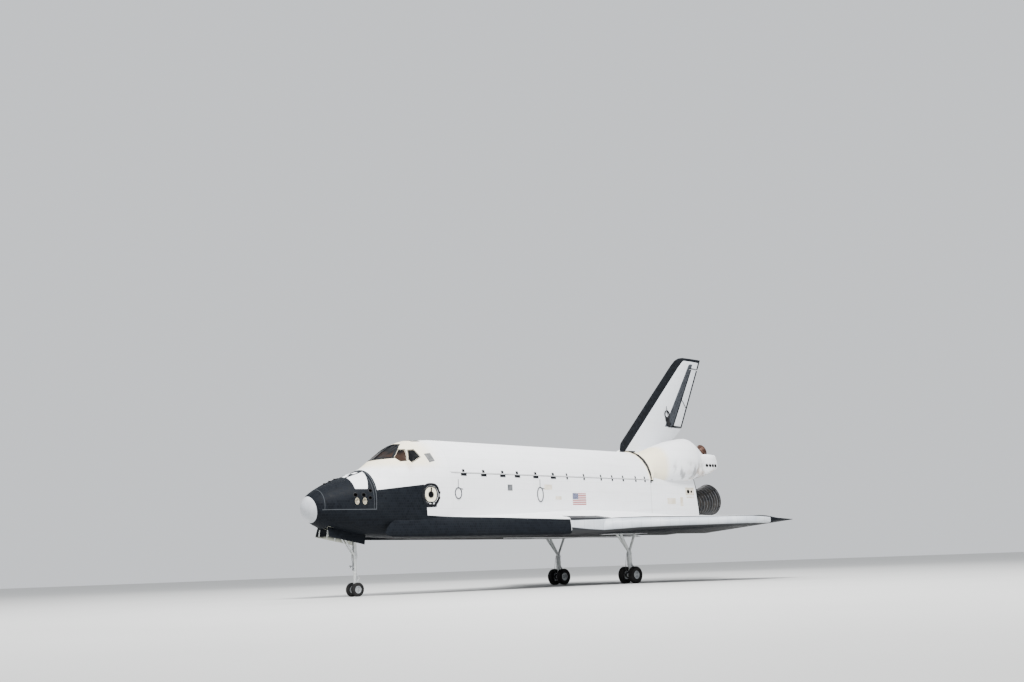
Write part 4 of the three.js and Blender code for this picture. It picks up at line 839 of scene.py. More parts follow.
def dress_windows():
    seals, surround, panes = [], [from_front(-1, CABIN).band(WINDOW_POST, 0.075, 0.016)], []
    for side, _ in SIDES:
        overhead = [(x, side * y) for x, y in OVERHEAD]
        openings = [(surround, from_front(side, CABIN), FRONT_PANE, 0.09)]
        openings += [(seals, from_side(side, CABIN), pane, 0.035) for pane in SIDE_PANES]
        openings.append((seals, from_above(CABIN), overhead, 0.06))
        for rims, cast, outline, reach in openings:
            rims.append(cast.rim(outline, 0.008, reach, 0.014))
            panes.append(cast.pane(outline))
    add_piece("window_seals", AIRFRAME, "seal", *seals)
    add_piece("window_panes", AIRFRAME, "glass", *panes)
    add_piece("windshield_surround", AIRFRAME, "tile", *surround)


def dress_louvres():
    plates, slats = [], []
    a, b, c, d = (Vector(p) for p in LOUVRE)
    for side, _ in SIDES:
        cast = from_side(side, CABIN)
        plates += [cast.plate(LOUVRE, 0.006, 5, 5), cast.rim(LOUVRE, -0.03, 0.012, 0.022)]
        for k in range(1, 8):
            start, end = a.lerp(d, k / 8), b.lerp(c, k / 8)
            slats.append(cast.band([start.lerp(end, 0.07), start.lerp(end, 0.93)], 0.026, 0.026, 0.1))
    add_piece("vent_plates", AIRFRAME, "vent_dark", *plates)
    add_piece("vent_slats", AIRFRAME, "vent", *slats)


# Crew hatch: corners of the step below it, stem under its window, and its latch
HATCH_SILL = [(7.0, 5.02), (7.72, 5.06), (7.72, 5.24), (7.0, 5.2)]
HATCH_STEM = [(7.33, 5.94), (7.345, 6.2)]
HATCH_LATCH = [(6.96, 5.66), (7.03, 5.5)]
WINDOW_RING = [(0.15, -0.02), (0.2, -0.02), (0.2, 0.018), (0.185, 0.03), (0.165, 0.03), (0.15, 0.012)]
ROUND_PANE = [(0, -0.01), (0.156, -0.01), (0.156, 0.008), (0.08, 0.014), (0, 0.016)]


def dress_hatch():
    """Black notched surround, and the door's round window, stem and latch."""
    cast = from_side(-1, CABIN)
    surround = [cast.ring(circle(HATCH, 0.531, 64), circle(HATCH, 0.62, 64, 1.1, 2.6), 0.018),
                cast.plate(HATCH_SILL, 0.016, 2, 6)]
    for k in range(12):
        near = Vector(polar(1, math.radians(30 * k + 12)))
        across = Vector((-near.y, near.x))
        corners = [Vector(HATCH) + near * (0.63 + 0.05 * out) + across * 0.07 * way for way, out in CORNERS]
        surround.append(cast.plate(corners, 0.024, 2, 2))
    add_piece("hatch_surround", AIRFRAME, "tile", *surround)
    door = from_side(-1, "crew_hatch")
    place, normal = door.hit(HATCH)
    add_piece("hatch_window_frame", "hatch", "tile", lathe(WINDOW_RING, place, normal, 48, closed=True),
              door.band(HATCH_STEM, 0.1, 0.022, 0.06))
    add_piece("hatch_window_pane", "hatch", "glass", lathe(ROUND_PANE, place, normal, 48))
    add_piece("hatch_latch", "hatch", "cream", door.band(HATCH_LATCH, 0.05, 0.03, 0.05))


# Thruster openings in the nose: x from the nose, height, radius, and whether a pale scoop lies below
THRUSTERS = [
    (2.541, 5.746, 0.11, False), (3.014, 5.746, 0.11, False), (2.598, 5.428, 0.11, True),
    (3.049, 5.428, 0.11, True), (3.44, 5.996, 0.095, False), (3.38, 5.58, 0.095, False),
]
TOP_THRUSTERS = [1.5, 1.85, 2.2]
TOP_CUP = [
    (0, -0.25), (0.04, -0.25), (0.08, -0.1), (0.1, -0.02), (0.088, -0.02), (0.068, -0.095), (0.03, -0.235),
    (0, -0.235),
]


def dress_thrusters():
    node = "forward_thruster_module"
    liners, scoops, rims = [], [], []
    for side, _ in SIDES:
        cast = from_side(side, node)
        for x, z, radius, scooped in THRUSTERS:
            mouth = at(x, cast.hit((x + radius + 0.02, z))[0].y, z)
            r = radius - 0.004
            if scooped:
                cup = [(0, -0.09), (0.5 * r, -0.08), (r, -0.005), (r, -0.14), (0, -0.14)]
                inner = circle((x, z), radius + 0.003)
                outer = circle((x, z - 0.035), radius + 0.014, tall=1.6)
                rows = [[a.lerp(b, share) for a, b in zip(inner, outer)] for share in (0, 0.5, 1)]
                scoops += [lathe(cup, mouth, ACROSS * side, 40), cast.drape(rows, 0.007, loop=True)]
                continue
            cup = [(0, -0.25), (0.35 * r, -0.25), (0.8 * r, -0.08), (r, -0.012), (r - 0.012, -0.012),
                   (0.8 * r - 0.012, -0.075), (0.35 * r - 0.01, -0.235), (0, -0.235)]
            liners.append(lathe(cup, mouth, ACROSS * side, 40))
            rims.append(cast.ring(circle((x, z), radius + 0.004), circle((x, z), radius + 0.032), 0.012))
    top = from_above(node)
    for x in TOP_THRUSTERS:
        mouth = at(x, 0, top.hit((x + 0.14, 0))[0].z)
        liners.append(lathe(TOP_CUP, mouth, UP, 40))
        rims.append(top.ring(circle((x, 0), 0.112), circle((x, 0), 0.14), 0.012))
    add_piece("nose_thruster_liners", AIRFRAME, "nozzle", *liners)
    add_piece("nose_thruster_rims", AIRFRAME, "seal", *rims)
    add_piece("nose_thruster_scoops", AIRFRAME, "scoop", *scoops)


# Marks along the doors' hinge line: places from the nose, width, and whether a bed lies under each
HINGE_MARKS = [
    ([9.826, 11.444, 13.029, 14.281, 15.899, 17.492], 0.2, True),
    ([18.767, 20.39, 22.068, 23.184, 24.3, 25.62, 26.6], 0.13, False),
]
# Cable loops hung on the side: x from the nose, height, half width and half height
CABLE_LOOPS = [(9.34, 5.9, 0.25, 0.33), (16.22, 5.93, 0.26, 0.46)]
LOOP_Y = 2.678
GREY_PLATE = [(13.4, 6.5), (13.78, 6.5), (13.78, 6.14), (13.4, 6.14)]
# Seam behind the doors: edges from the nose, arc in degrees, foot, and radius that it is cast from
SEAM_EDGES = (27.175, 27.29)
SEAM_ARC = [4.6 + 80.4 * k / 38 for k in range(39)]
SEAM_FOOT = [(27.2, 7.16), (27.27, 7.1), (27.48, 7.1)]
SEAM_REACH = 3.6
SEAM_NODES = ("aft_fuselage", "pod_left", "pod_right")


def dress_sides():
    marks, loops, plates, seams = [], [], [], []
    for side, name in SIDES:
        node = "payload_door_" + name
        hull, door = from_side(side, "mid_fuselage"), from_side(side, node)
        (low_x, _, foot), (high_x, _, _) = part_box(node)
        caps = []
        for places, width, bedded in HINGE_MARKS:
            for x in places:
                if bedded:
                    marks.append(hull.band([(x - 0.23, foot - 0.12), (x + 0.23, foot - 0.12)], 0.16, 0.02))
                marks.append(hull.band([(x, foot - 0.2), (x, foot - 0.03)], width, 0.024, 0.05))
                caps.append(door.band([(x, foot + 0.03), (x, foot + 0.2)], width, 0.012, 0.05))
        line = [(x - NOSE_X, foot - 0.04) for x in (low_x + 0.1, high_x - 0.1)]
        marks.append(hull.band(line, 0.03, 0.006, 0.6))
        add_piece("door_hinge_caps_" + name, "door_" + name, "tile", *caps)
        for x, z, half_width, half_height in CABLE_LOOPS:
            centre = at(x, side * LOOP_Y, z)
            top = centre + Vector((0, -0.006 * side, half_height))
            loops += [
                tube(side_oval(centre, half_width, half_height), 0.034, 10, closed=True),
                bar(top, top + Vector((0.01, 0, 0.5)), 0.02, 10),
                bar(top + Vector((0.1, 0, -0.04)), top + Vector((0.36, 0, -0.08)), 0.024, 10),
            ]
        plates += [hull.plate(GREY_PLATE, 0.008, 3, 3), hull.rim(GREY_PLATE, -0.03, 0.01, 0.018)]
        rows = [[(x, angle) for angle in SEAM_ARC] for x in SEAM_EDGES]
        seams += [from_round(side, SEAM_REACH, -1, *SEAM_NODES).drape(rows, 0.02),
                  from_side(side, *SEAM_NODES).band(SEAM_FOOT, 0.09, 0.03, 0.05)]
    add_piece("door_hinge_marks", AIRFRAME, "tile", *marks)
    add_piece("side_cable_loops", AIRFRAME, "strip", *loops)
    add_piece("side_grey_plates", AIRFRAME, "vent_dark", *plates)
    add_piece("rear_door_seam", AIRFRAME, "seal", *seams)


# Umbilical panel's corners, and its sockets: x from the nose and radius, at one height
UMBILICAL = [(30.84, 6.62), (31.66, 6.62), (31.66, 6.14), (30.84, 6.14)]
SOCKETS = [(31.08, 0.13), (31.42, 0.085)]
SOCKET_Z = 6.36
# Stained patches on the side: node, then x and z of two opposite corners
PATCHES = [
    ("mid_fuselage", 16.6, 6.25, 17.3, 6.58), ("mid_fuselage", 17.6, 5.62, 18.15, 5.84),
    ("aft_fuselage", 28.85, 5.45, 29.72, 5.87), ("aft_fuselage", 30.2, 5.3, 30.5, 5.95),
    ("aft_fuselage", 30.9, 5.9, 31.7, 6.0),
]


def dress_panels():
    flags, panels, sockets, frames = [], [], [], []
    for side, _ in SIDES:
        rear = from_side(side, "aft_fuselage")
        flags.append(from_side(side, "mid_fuselage").plate(FLAG, 0.003, 8, 12))
        panels.append(rear.plate(UMBILICAL, 0.012, 5, 8))
        for node, x0, z0, x1, z1 in PATCHES:
            corners = [(x0, z1), (x1, z1), (x1, z0), (x0, z0)]
            panels.append(from_side(side, node).plate(corners, 0.004, 5, 8))
        frames.append(rear.rim(UMBILICAL, -0.01, 0.03, 0.02))
        # The sockets' near-black finish paints the shade inside their holes
        for x, r in SOCKETS:
            profile = [(0, 0.015), (0.7 * r, 0.015), (0.8 * r, 0.02), (r, 0.03), (1.12 * r, 0.022),
                       (1.12 * r, -0.01), (0, -0.01)]
            sockets.append(lathe(profile, *rear.hit((x, SOCKET_Z)), 40))
    add_piece("side_flags", AIRFRAME, "flag", *flags)
    add_piece("umbilical_panels", AIRFRAME, "beige", *panels)
    add_piece("umbilical_frames", AIRFRAME, "cream", *frames)
    add_piece("umbilical_sockets", AIRFRAME, "nozzle", *sockets)


# Grey strip before the rudder: both its edges, and the cells between their points
STRIP_FRONT = [(32.1, 11.62), (32.2, 11.85), (35.55, 16.72), (35.8, 16.72)]
STRIP_REAR = [(32.36, 11.66), (32.41, 11.73), (35.54, 16.57), (35.8, 16.58)]
STRIP_CELLS = (3, 36, 3)
# Fixture at the strip's foot: where its ring hangs, and its blocks' low and high corners
FIXTURE = (32.3, 12.4)
# Its bars: both ends from the ring's middle, and radius
FIXTURE_BARS = [((0, 0, 0.26), (-0.04, -0.02, 0.62), 0.024), ((0.1, 0.02, 0.3), (0.2, 0.1, -0.4), 0.035)]
FIXTURE_BLOCKS = [
    ((32.1, 11.98), (32.52, 12.3)), ((32.16, 11.75), (32.54, 11.98)), ((32.32, 11.58), (32.56, 11.75)),
]
FIN_ROOT = [(27.26, 0.12), (27.36, 0.24), (28.1, 0.42), (28.5, 0.47)]
RUDDER_EDGES = {
    "lower": [(32.9, 11.635), (34.22, 11.635), (34.94, 13.02)],
    "upper": [(34.25, 13.87), (34.99, 13.2), (36.6, 16.2)],
}


def rudder_strip(cast):
    rows = []
    for share in (0, 0.5, 1):
        line = [Vector(a).lerp(Vector(b), share) for a, b in zip(STRIP_FRONT, STRIP_REAR)]
        row = []
        for a, b, cells in zip(line, line[1:], STRIP_CELLS):
            row += [a.lerp(b, k / cells) for k in range(cells)]
        rows.append([*row, line[-1]])
    return cast.drape(rows, 0.012)


def dress_fin():
    port = from_side(-1, "vertical_fin")
    hub = port.hit(FIXTURE)[0] + Vector((0, -0.06, 0.1))
    fixture = [tube(side_oval(hub, 0.26, 0.27), 0.045, 12, closed=True)]
    for start, end, radius in FIXTURE_BARS:
        fixture.append(bar(hub + Vector(start), hub + Vector(end), radius, 10))
    for low, high in FIXTURE_BLOCKS:
        y = port.hit(Vector(low).lerp(Vector(high), 0.5))[0].y
        fixture.append(chamfered(at(low[0], y - 0.08, low[1]), at(high[0], y + 0.03, high[1]), 0.02))
    strips = [rudder_strip(from_side(side, "vertical_fin")) for side, _ in SIDES]
    add_piece("rudder_seal_strips", AIRFRAME, "strip", *strips)
    add_piece("fin_fixture", AIRFRAME, "seal", *fixture)
    top = from_above("aft_fuselage")
    root = [top.band([(x, side * y) for x, y in FIN_ROOT], 0.12, 0.016, 0.1) for side, _ in SIDES]
    add_piece("fin_root_seal", AIRFRAME, "tile", *root)
    for side, name in SIDES:
        for half, line in RUDDER_EDGES.items():
            panel = from_side(side, "rudder_%s_%s" % (half, name))
            add_piece("rudder_%s_outline_%s" % (half, name), "rudder_" + name, "tile",
                      panel.band(line, 0.085, 0.006))


# Pods: rows of small thruster openings in the side and the rear, as place, pitch and number, and their cups
SIDE_ROW = {"x": 32.5, "z": 8.27, "pitch": 0.31, "count": 4}
REAR_ROW = {"y": 3.27, "z": 8.3, "pitch": 0.13, "count": 2}
SIDE_CUP = [(0, 0.012), (0.075, 0.016), (0.095, 0.03), (0.112, 0.03), (0.125, -0.01), (0, -0.02)]
REAR_CUP = [(0, 0.01), (0.035, 0.012), (0.05, 0.025), (0.06, 0.022), (0.07, -0.01), (0, -0.02)]


def dress_pods():
    cups, rear_cups = [], []
    for side, name in SIDES:
        cast = from_side(side, "pod_" + name)
        behind = Cast(lambda p: at(36, p[0], p[1]), lambda point: Vector((-1, 0, 0)), "pod_" + name)
        for k in range(SIDE_ROW["count"]):
            spot = (SIDE_ROW["x"] + SIDE_ROW["pitch"] * k, SIDE_ROW["z"])
            cups.append(lathe(SIDE_CUP, *cast.hit(spot), 32))
        for k in range(REAR_ROW["count"]):
            spot = (side * REAR_ROW["y"], REAR_ROW["z"] + REAR_ROW["pitch"] * k)
            rear_cups.append(lathe(REAR_CUP, *behind.hit(spot), 32))
    add_piece("pod_thruster_cups", AIRFRAME, "nozzle", *cups, *rear_cups)


# Engines: place, gimbal point from the nose, upward cant and outward splay in degrees
MAIN_ENGINES = [
    ("top", (30.658, 0, 7.772), 16, 0),
    ("port", (31.242, -1.346, 5.222), 10, -3.5),
    ("starboard", (31.242, 1.346, 5.222), 10, 3.5),
]
POD_ENGINES = [("left", (32.5, -2.3, 9.15), 15.8, -6.5), ("right", (32.5, 2.3, 9.15), 15.8, 6.5)]
# Radius and distance from the gimbal point: shield round the mounting, and the bell's outside
MAIN_SHIELD = [(0, -0.15), (0.17, -0.15), (0.2, 0.3), (0.62, 0.3), (0.8, 0.52), (0.7, 0.8), (0.4, 0.94)]
MAIN_BELL = [
    (0.35, 1.1), (0.46, 1.34), (0.56, 1.6), (0.665, 1.87), (0.76, 2.15), (0.85, 2.45),
    (0.93, 2.75), (1.0, 3.05), (1.06, 3.35), (1.11, 3.68), (1.15, 3.98),
]
POD_SHIELD = [
    (0, -0.06), (0.07, -0.06), (0.085, 0.11), (0.25, 0.11), (0.3, 0.2), (0.29, 0.26), (0.15, 0.33),
]
POD_BELL = [
    (0.15, 0.42), (0.225, 0.49), (0.3, 0.58), (0.375, 0.68), (0.44, 0.79), (0.5, 0.92), (0.548, 1.055),
]
# Hoops round the bells: distance, width and height, and distances of the ribs inside
MAIN_HOOPS = [(1.5 + 0.235 * k, 0.042, 0.022) for k in range(11)]
MAIN_DUCTS = [(1.22, 0.16, 0.07), (3.9, 0.09, 0.045)]
POD_HOOPS = [(distance, 0.03, 0.012) for distance in (0.52, 0.68, 0.84, 1.03)]
MAIN_RIBS = (2.0, 2.6, 3.2, 3.7)
# Main engines' pipes: distances that they pass, their radius and their height over the bell
PIPE_STOPS = (1.3, 1.9, 2.6, 3.3, 3.85)
PIPE_RADIUS = 0.034
PIPE_LIFT = 0.03


def axis_of(place, cant, splay):
    """Where an engine's axis starts, and which way it points."""
    up, out = math.radians(cant), math.radians(splay)
    return at(*place), Vector((math.cos(up) * math.cos(out), math.cos(up) * math.sin(out), math.sin(up)))


def radius_at(bell, distance):
    (r0, s0), (r1, s1) = next(pair for pair in zip(bell, bell[1:]) if distance <= pair[1][1])
    return r0 + (r1 - r0) * (distance - s0) / (s1 - s0)


def hoop(bell, distance, wide, high, axis, sides):
    """Ring with rounded corners round a bell."""
    radius, half = radius_at(bell, distance), wide / 2
    inner, outer = radius - 0.01, radius + high
    soft = min(0.3 * wide, 0.6 * high)
    profile = [
        (inner, distance - half), (outer - soft, distance - half), (outer, distance - half + soft),
        (outer, distance + half - soft), (outer - soft, distance + half), (inner, distance + half),
    ]
    return lathe(profile, *axis, sides, closed=True)


def inner_rib(distance, axis):
    near = radius_at(MAIN_BELL, distance) - 0.04
    profile = [(near, distance - 0.02), (near - 0.018, distance - 0.012), (near - 0.018, distance + 0.012),
               (near, distance + 0.02)]
    return lathe(profile, *axis, 80, closed=True)


def add_bell(name, body, finish, shield, bell, wall, axis, half_pin, pin_radius):
    """Shield and hollow bell in one turned shape, and the pin that they swing on, for an engine's solid."""
    inside = [(r - wall, s) for r, s in bell[:0:-1]]
    lip = (bell[-1][0] - wall / 2, bell[-1][1] + wall * 0.2)
    floor = bell[0][1] + wall
    profile = [*shield, *bell, lip, *inside, (bell[0][0] - wall, floor), (0, floor)]
    reach = ACROSS * half_pin
    pin = bar(axis[0] - reach, axis[0] + reach, pin_radius, 24)
    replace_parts(add_piece(name + "_bell", body, finish, lathe(profile, *axis, 80), pin), name)


def pipe_down(angle, axis):
    """Pipe that runs down the outside of a main engine's bell."""
    centre, along = axis
    turn = along.to_track_quat("Z", "X")
    path = []
    for distance in PIPE_STOPS:
        place = Vector((*polar(radius_at(MAIN_BELL, distance) + PIPE_LIFT, angle), distance))
        path.append(centre + turn @ place)
    return tube(smooth_path(path, 5), PIPE_RADIUS, 12)


def dress_engines():
    for where, *aim in MAIN_ENGINES:
        name, body, axis = "main_engine_" + where, "engine_" + where, axis_of(*aim)
        add_bell(name, body, "bell", MAIN_SHIELD, MAIN_BELL, 0.04, axis, 0.3, 0.16)
        add_piece(name + "_hoops", body, "band", *(hoop(MAIN_BELL, *size, axis, 80) for size in MAIN_HOOPS))
        ducts = [hoop(MAIN_BELL, *size, axis, 80) for size in MAIN_DUCTS]
        pipes = [pipe_down(math.radians(120 * k + 50), axis) for k in range(3)]
        add_piece(name + "_ducts", body, "bell", *ducts, *pipes)
        face = [(r - 0.046, s) for r, s in MAIN_BELL[2:-1]]
        lining = lathe(face + [(r - 0.02, s) for r, s in reversed(face)], *axis, 80, closed=True)
        ribs = [inner_rib(distance, axis) for distance in MAIN_RIBS]
        add_piece(name + "_liner", body, "liner_metal", lining, *ribs)
    for where, *aim in POD_ENGINES:
        name, body, axis = "pod_engine_" + where, "pod_bell_" + where, axis_of(*aim)
        add_bell(name, body, "bell_brown", POD_SHIELD, POD_BELL, 0.022, axis, 0.13, 0.065)
        hoops = [hoop(POD_BELL, *size, axis, 64) for size in POD_HOOPS]
        add_piece(name + "_hoops", body, "bell_brown", *hoops)


# Legs: place from the nose, and y of the main ones
NOSE_LEG = 3.56
MAIN_LEG = (23.6, 3.454)
# Tyre radius and width, bead radius, spacing, axle radius and number of grooves
NOSE_WHEEL = (0.406, 0.224, 0.215, 0.279, 0.045, 4)
MAIN_WHEEL = (0.565, 0.406, 0.27, 0.457, 0.075, 5)
# Wheels: name, body, place from the nose, y and size
WHEELSETS = [
    ("nose", "nose_wheelset", NOSE_LEG, 0, NOSE_WHEEL),
    ("main_left", "main_wheelset_left", MAIN_LEG[0], -MAIN_LEG[1], MAIN_WHEEL),
    ("main_right", "main_wheelset_right", *MAIN_LEG, MAIN_WHEEL),
]
# Tyre's side from the bead out: share of the depth, share of the half width
TYRE_SIDE = [
    (0.1, 0.8), (0.16, 0.885), (0.19, 0.9), (0.22, 0.915), (0.38, 0.985), (0.55, 1.0), (0.72, 0.965),
    (0.78, 0.935), (0.8, 0.94), (0.88, 0.83), (0.965, 0.68), (0.988, 0.6),
]
# Rim's face: first by the axle's radius, then by the bead's, each with a share of the half width
RIM_HUB = [(0.6, 0.78), (1.1, 0.74), (1.25, 0.5)]
RIM_DISH = [(0.42, 0.42), (0.62, 0.34), (0.74, 0.42), (0.8, 0.8), (0.86, 0.97), (0.93, 1.0), (1.0, 0.98)]
# Bolts' circle as a share of the bead radius, and how far out bolts and caps stand as shares of the width
BOLT_CIRCLE = 0.53
BOLT_OUT = 0.1188
CAP_OUT = 0.24
BOLT = [(0, 0.018), (0.012, 0.018), (0.017, 0.012), (0.017, -0.02), (0, -0.02)]


def tyre_profile(radius, width, bead, grooves):
    half = width / 2
    side = [(bead, 0.66), (bead + 0.02, 0.72)]
    side += [(bead + rise * (radius - bead), share) for rise, share in TYRE_SIDE]
    outer = [(r, -share * half) for r, share in side]
    gap = 0.02 * width
    tread = []
    for k in range(grooves):
        spot = (-0.45 + 0.9 * k / (grooves - 1)) * half
        tread += [(radius, spot - gap), (radius - 0.014, spot - 0.6 * gap),
                  (radius - 0.014, spot + 0.6 * gap), (radius, spot + gap)]
    return outer + tread + [(r, -s) for r, s in reversed(outer)]


def rim_profile(width, bead, axle):
    half = 0.33 * width
    face = [(0, 0.8)] + [(axle * r, share) for r, share in RIM_HUB]
    face += [((bead - 0.001) * r, share) for r, share in RIM_DISH]
    near = [(r, -share * half) for r, share in face]
    return near + [(r, -s) for r, s in reversed(near)]


def dress_wheels():
    for name, body, x, y, size in WHEELSETS:
        radius, width, bead, spacing, axle, grooves = size
        centre = at(x, y, radius)
        hub_cap = [(0, 0.04), (0.5 * axle, 0.038), (0.8 * axle, 0.02), (0.95 * axle, -0.02), (0, -0.03)]
        rims, bolts = [], []
        for side, side_name in SIDES:
            middle = centre + ACROSS * side * spacing
            node = "%s_tyre_%s" % (name, side_name)
            tyre = lathe(tyre_profile(radius, width, bead, grooves), middle, ACROSS, 96, closed=True)
            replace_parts(add_piece(node + "_moulded", body, "rubber", tyre), node)
            rims.append(lathe(rim_profile(width, bead, axle), middle, ACROSS, 72))
            for face in (-1, 1):
                out = ACROSS * face
                for fore, up in (polar(BOLT_CIRCLE * bead, angle) for angle in turns(9)):
                    foot = middle + Vector((fore, 0, up)) + out * BOLT_OUT * width
                    bolts.append(lathe(BOLT, foot, out, 6))
                bolts.append(lathe(hub_cap, middle + out * CAP_OUT * width, out, 32))
        reach = ACROSS * (spacing + 0.2 * width)
        shaft = bar(centre - reach, centre + reach, axle - 0.001, 32)
        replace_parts(add_piece(name + "_wheels_turned", body, "wheel", *rims, shaft), name + "_wheels")
        add_piece(name + "_wheel_bolts", body, "bolt", *bolts)


# Collars on the legs: height and radius
NOSE_COLLARS = [(2.35, 0.15), (1.56, 0.125), (3.1, 0.122)]
MAIN_COLLARS = [(2.0, 0.19), (1.6, 0.18), (1.28, 0.185)]
# Hoses down the legs: how far aft and sideways of the leg, and height
NOSE_HOSE = [
    (-0.12, 0.04, 3.6), (-0.13, 0.05, 2.7), (-0.17, 0.06, 2.3), (-0.13, 0.05, 1.9), (-0.13, 0.05, 1.5),
]
MAIN_HOSE = [
    (-0.18, 0.05, 2.05), (-0.24, 0.07, 1.7), (-0.3, 0.1, 1.2), (-0.2, 0.16, 0.8), (-0.1, 0.2, 0.62),
]
# A lamp and a brake pack, as radius and distance along their axis
LAMP = [(0, 0.0), (0.05, 0.01), (0.085, 0.07), (0.085, 0.1), (0.078, 0.1), (0.04, 0.03), (0, 0.025)]
BRAKE = [(0.09, -0.03), (0.2, -0.03), (0.21, -0.02), (0.21, 0.02), (0.2, 0.03), (0.09, 0.03)]
BRAKE_Y = 0.235
# Lamps on the nose leg: how far aft of it, to the side and up, and how far aft of them their rod is
LAMP_PLACE = (-0.16, 0.13, 1.72)
ROD_AFT = 0.03
# Scissor links behind the main legs: upper end, knee and lower end, each as how far aft and height
LINK_TOP = (0.12, 1.34)
LINK_KNEE = (0.42, 1.0)
LINK_FOOT = (0.1, 0.66)
LINK_Y = 0.07


def collar(place, radius, depth):
    profile = [(radius - depth, -0.05), (radius, -0.035), (radius, 0.035), (radius - depth, 0.05)]
    return lathe(profile, place, UP, 48, closed=True)


def hose(leg, route, way, radius):
    return tube(smooth_path([leg + Vector((x, way * y, z)) for x, y, z in route]), radius, 10)


def dress_nose_leg():
    leg = at(NOSE_LEG, 0, 0)
    collars = [collar(leg + UP * z, radius, 0.03) for z, radius in NOSE_COLLARS]
    add_piece("nose_leg_collars", AIRFRAME, "gear", *collars)
    add_piece("nose_leg_hoses", AIRFRAME, "hose", *(hose(leg, NOSE_HOSE, way, 0.014) for way in (-1, 1)))
    aft, out, height = LAMP_PLACE
    lamps = [lathe(LAMP, leg + Vector((aft, y, height)), Vector((-1, 0, 0)), 32) for y in (-out, out)]
    rod_ends = [leg + Vector((aft + ROD_AFT, y, height)) for y in (-0.14, 0.14)]
    rod = bar(*rod_ends, 0.02, 12)
    add_piece("nose_leg_lamps", AIRFRAME, "wheel", *lamps, rod)


def dress_main_legs():
    links, hoses, brakes = [], [], []
    for side, _ in SIDES:
        leg = at(MAIN_LEG[0], side * MAIN_LEG[1], 0)
        links += [collar(leg + UP * z, radius, 0.05) for z, radius in MAIN_COLLARS]
        knee = leg + Vector((LINK_KNEE[0], 0, LINK_KNEE[1]))
        for y in (-LINK_Y, LINK_Y):
            elbow = knee + ACROSS * y * 0.4
            top, foot = (leg + Vector((aft, y, z)) for aft, z in (LINK_TOP, LINK_FOOT))
            links += [bar(top, elbow, 0.032, 12), bar(elbow, foot, 0.032, 12)]
        links.append(bar(knee - ACROSS * LINK_Y, knee + ACROSS * LINK_Y, 0.028, 12))
        hoses += [hose(leg, MAIN_HOSE, way, 0.016) for way in (1, -1)]
        for y in (-BRAKE_Y, BRAKE_Y):
            brakes.append(lathe(BRAKE, leg + Vector((0, y, MAIN_WHEEL[0])), ACROSS, 48, closed=True))
    add_piece("main_leg_links", AIRFRAME, "gear", *links)
    add_piece("main_leg_hoses", AIRFRAME, "hose", *hoses)
    add_piece("main_brake_packs", AIRFRAME, "nozzle", *brakes)


def dress_nose_doors():
    """Ribs on the inner faces of the nose doors, which hang open."""
    for side, name in SIDES:
        node = "nose_door_" + name
        inner = from_side(-side, node)
        (low_x, _, low_z), (high_x, _, high_z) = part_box(node)
        ribs = []
        for k in range(5):
            x = low_x + (0.08 + 0.2 * k) * (high_x - low_x) - NOSE_X
            column = [low_z + (high_z - low_z) * (0.14 + 0.12 * j) for j in range(7)]
            column = [z for z in column if inner.hit((x, z))]
            if len(column) > 2:
                rows = [[(x + shift, z) for z in column] for shift in (-0.03, 0.03)]
                ribs.append(inner.drape(rows, 0.03))
        add_piece(node + "_ribs", "well_door_" + name, "gear", *ribs)


# Payload bay: places of its frames, half width, floor and sill, its trunking's ends and heights,
# and the y, height and radius of the pipes along its floor
BAY_FRAMES = [*(9.3 + 1.32 * k for k in range(13)), 26.6]
BAY_HALF = 2.355
BAY_FLOOR = 4.275
BAY_SILL = 7.02
TRUNK_ENDS = (8.9, 27.0)
TRUNK_HEIGHTS = (5.75, 6.35)
FLOOR_PIPE = (0.9, 4.52, 0.07)
# Pale panels inside each door: first place from the nose, pitch, length and arc in degrees
PANEL_START = 8.95
PANEL_PITCH = 2.27
PANEL_LENGTH = 2.1
PANEL_ARC = [16 + 68 * j / 15 for j in range(16)]


def bay_frame(from_nose):
    """Flat frame that lines the trough's floor and walls."""
    right = [
        (BAY_HALF, BAY_FLOOR), (BAY_HALF, BAY_SILL), (BAY_HALF - 0.16, BAY_SILL), (BAY_HALF - 0.16, 5.2),
        (BAY_HALF - 0.75, BAY_FLOOR + 0.16),
    ]
    outline = right + [(-y, z) for y, z in reversed(right)]
    points = [at(from_nose + shift, y, z) for shift in (-0.045, 0.045) for y, z in outline]
    count = len(outline)
    faces = [tuple(range(count)), tuple(reversed(range(count, 2 * count)))]
    faces += [(j, (j + 1) % count, count + (j + 1) % count, count + j) for j in range(count)]
    return points, faces


def dress_bay():
    start, end = TRUNK_ENDS
    trunks = []
    for side, _ in SIDES:
        low_y, high_y = sorted((side * BAY_HALF, side * (BAY_HALF - 0.115)))
        trunks += [chamfered(at(start, low_y, z), at(end, high_y, z + 0.14), 0.012) for z in TRUNK_HEIGHTS]
    pipe_y, pipe_z, radius = FLOOR_PIPE
    trunks += [bar(at(start, y, pipe_z), at(end, y, pipe_z), radius, 20) for y in (-pipe_y, pipe_y)]
    add_piece("bay_frames", AIRFRAME, "liner", *(bay_frame(place) for place in BAY_FRAMES))
    add_piece("bay_trunking", AIRFRAME, "vent", *trunks)
    for side, name in SIDES:
        door = from_round(side, 0.5, 1, "payload_door_" + name)
        panels = []
        for first in (PANEL_START + PANEL_PITCH * k for k in range(8)):
            places = [first + PANEL_LENGTH * i / 8 for i in range(9)]
            panels.append(door.drape([[(x, angle) for angle in PANEL_ARC] for x in places], 0.02))
        add_piece("door_panels_" + name, "door_" + name, "radiator", *panels)


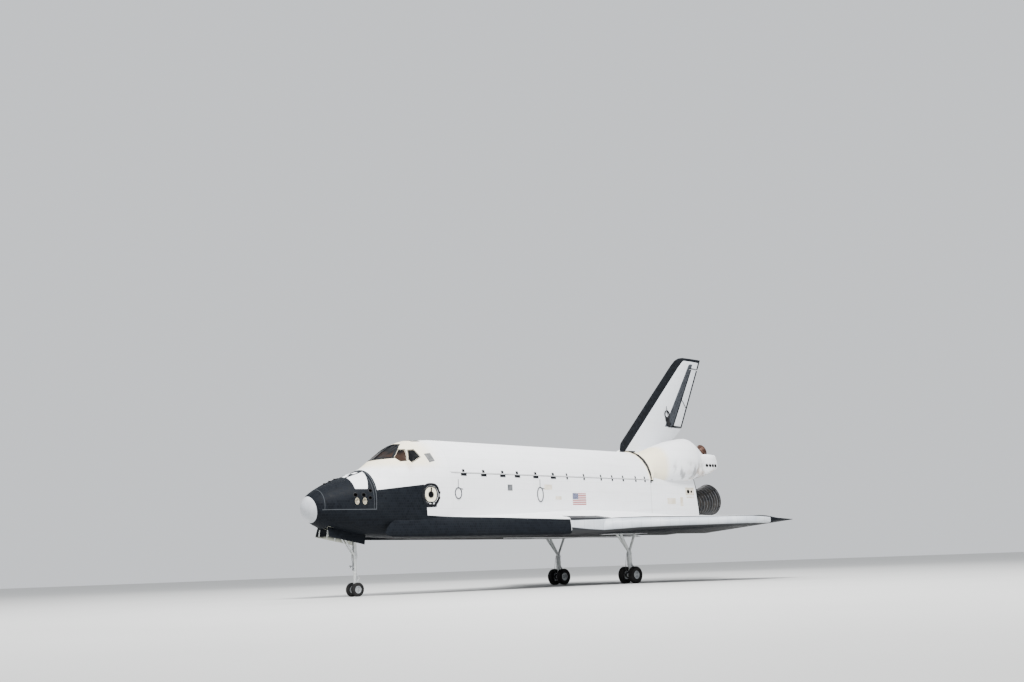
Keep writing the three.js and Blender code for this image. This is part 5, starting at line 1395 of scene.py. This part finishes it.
def lay_floor():
    """A wide pale floor, which isn't part of the object."""
    s = Shader("floor_paint")
    base = s.mix(s.noise(0.12, 4.0), (196, 196, 194), (206, 206, 204))
    bpy.ops.mesh.primitive_plane_add(size=900, location=(0, 0, 0))
    floor = bpy.context.object
    floor.name = "floor"
    floor.data.materials.append(s.done(base, 0.7))


def area_light(name, place, target, size, power):
    lamp = bpy.data.lights.new(name, "AREA")
    lamp.size = size
    lamp.energy = power
    made = bpy.data.objects.new(name, lamp)
    bpy.context.scene.collection.objects.link(made)
    made.location = place
    made.rotation_mode = "QUATERNION"
    made.rotation_quaternion = (Vector(target) - Vector(place)).to_track_quat("-Z", "Y")


def light_studio():
    """Even pale surroundings, with one large soft lamp on the camera's side and one behind."""
    world = bpy.data.worlds.new("studio")
    world.use_nodes = True
    back = world.node_tree.nodes["Background"]
    back.inputs[0].default_value = colour(222, 225, 229)
    back.inputs[1].default_value = 1.2
    bpy.context.scene.world = world
    area_light("key", (-26, -32, 60), (0, 0, 6), 26, 118000)
    area_light("rim", (34, 36, 40), (0, 0, 8), 30, 18000)


def place_camera():
    data = bpy.data.cameras.new("camera")
    data.sensor_width = 36
    data.lens = CAMERA_LENS
    data.clip_end = 1000
    camera = bpy.data.objects.new("camera", data)
    bpy.context.scene.collection.objects.link(camera)
    yaw, pitch, roll = (math.radians(a) for a in (CAMERA_YAW, CAMERA_PITCH, CAMERA_ROLL))
    forward = Vector((math.sin(yaw) * math.cos(pitch), math.cos(yaw) * math.cos(pitch), math.sin(pitch)))
    right = Vector((math.cos(yaw), -math.sin(yaw), 0))
    up = right.cross(forward)
    level_right = right * math.cos(roll) + up * math.sin(roll)
    level_up = up * math.cos(roll) - right * math.sin(roll)
    turn = Matrix((level_right, level_up, -forward)).transposed()
    camera.matrix_world = Matrix.Translation(CAMERA_PLACE) @ turn.to_4x4()
    bpy.context.scene.camera = camera


dress_windows()
dress_louvres()
dress_hatch()
dress_thrusters()
dress_sides()
dress_panels()
dress_fin()
dress_pods()
dress_engines()
dress_wheels()
dress_nose_leg()
dress_main_legs()
dress_nose_doors()
dress_bay()
lay_floor()
light_studio()
place_camera()
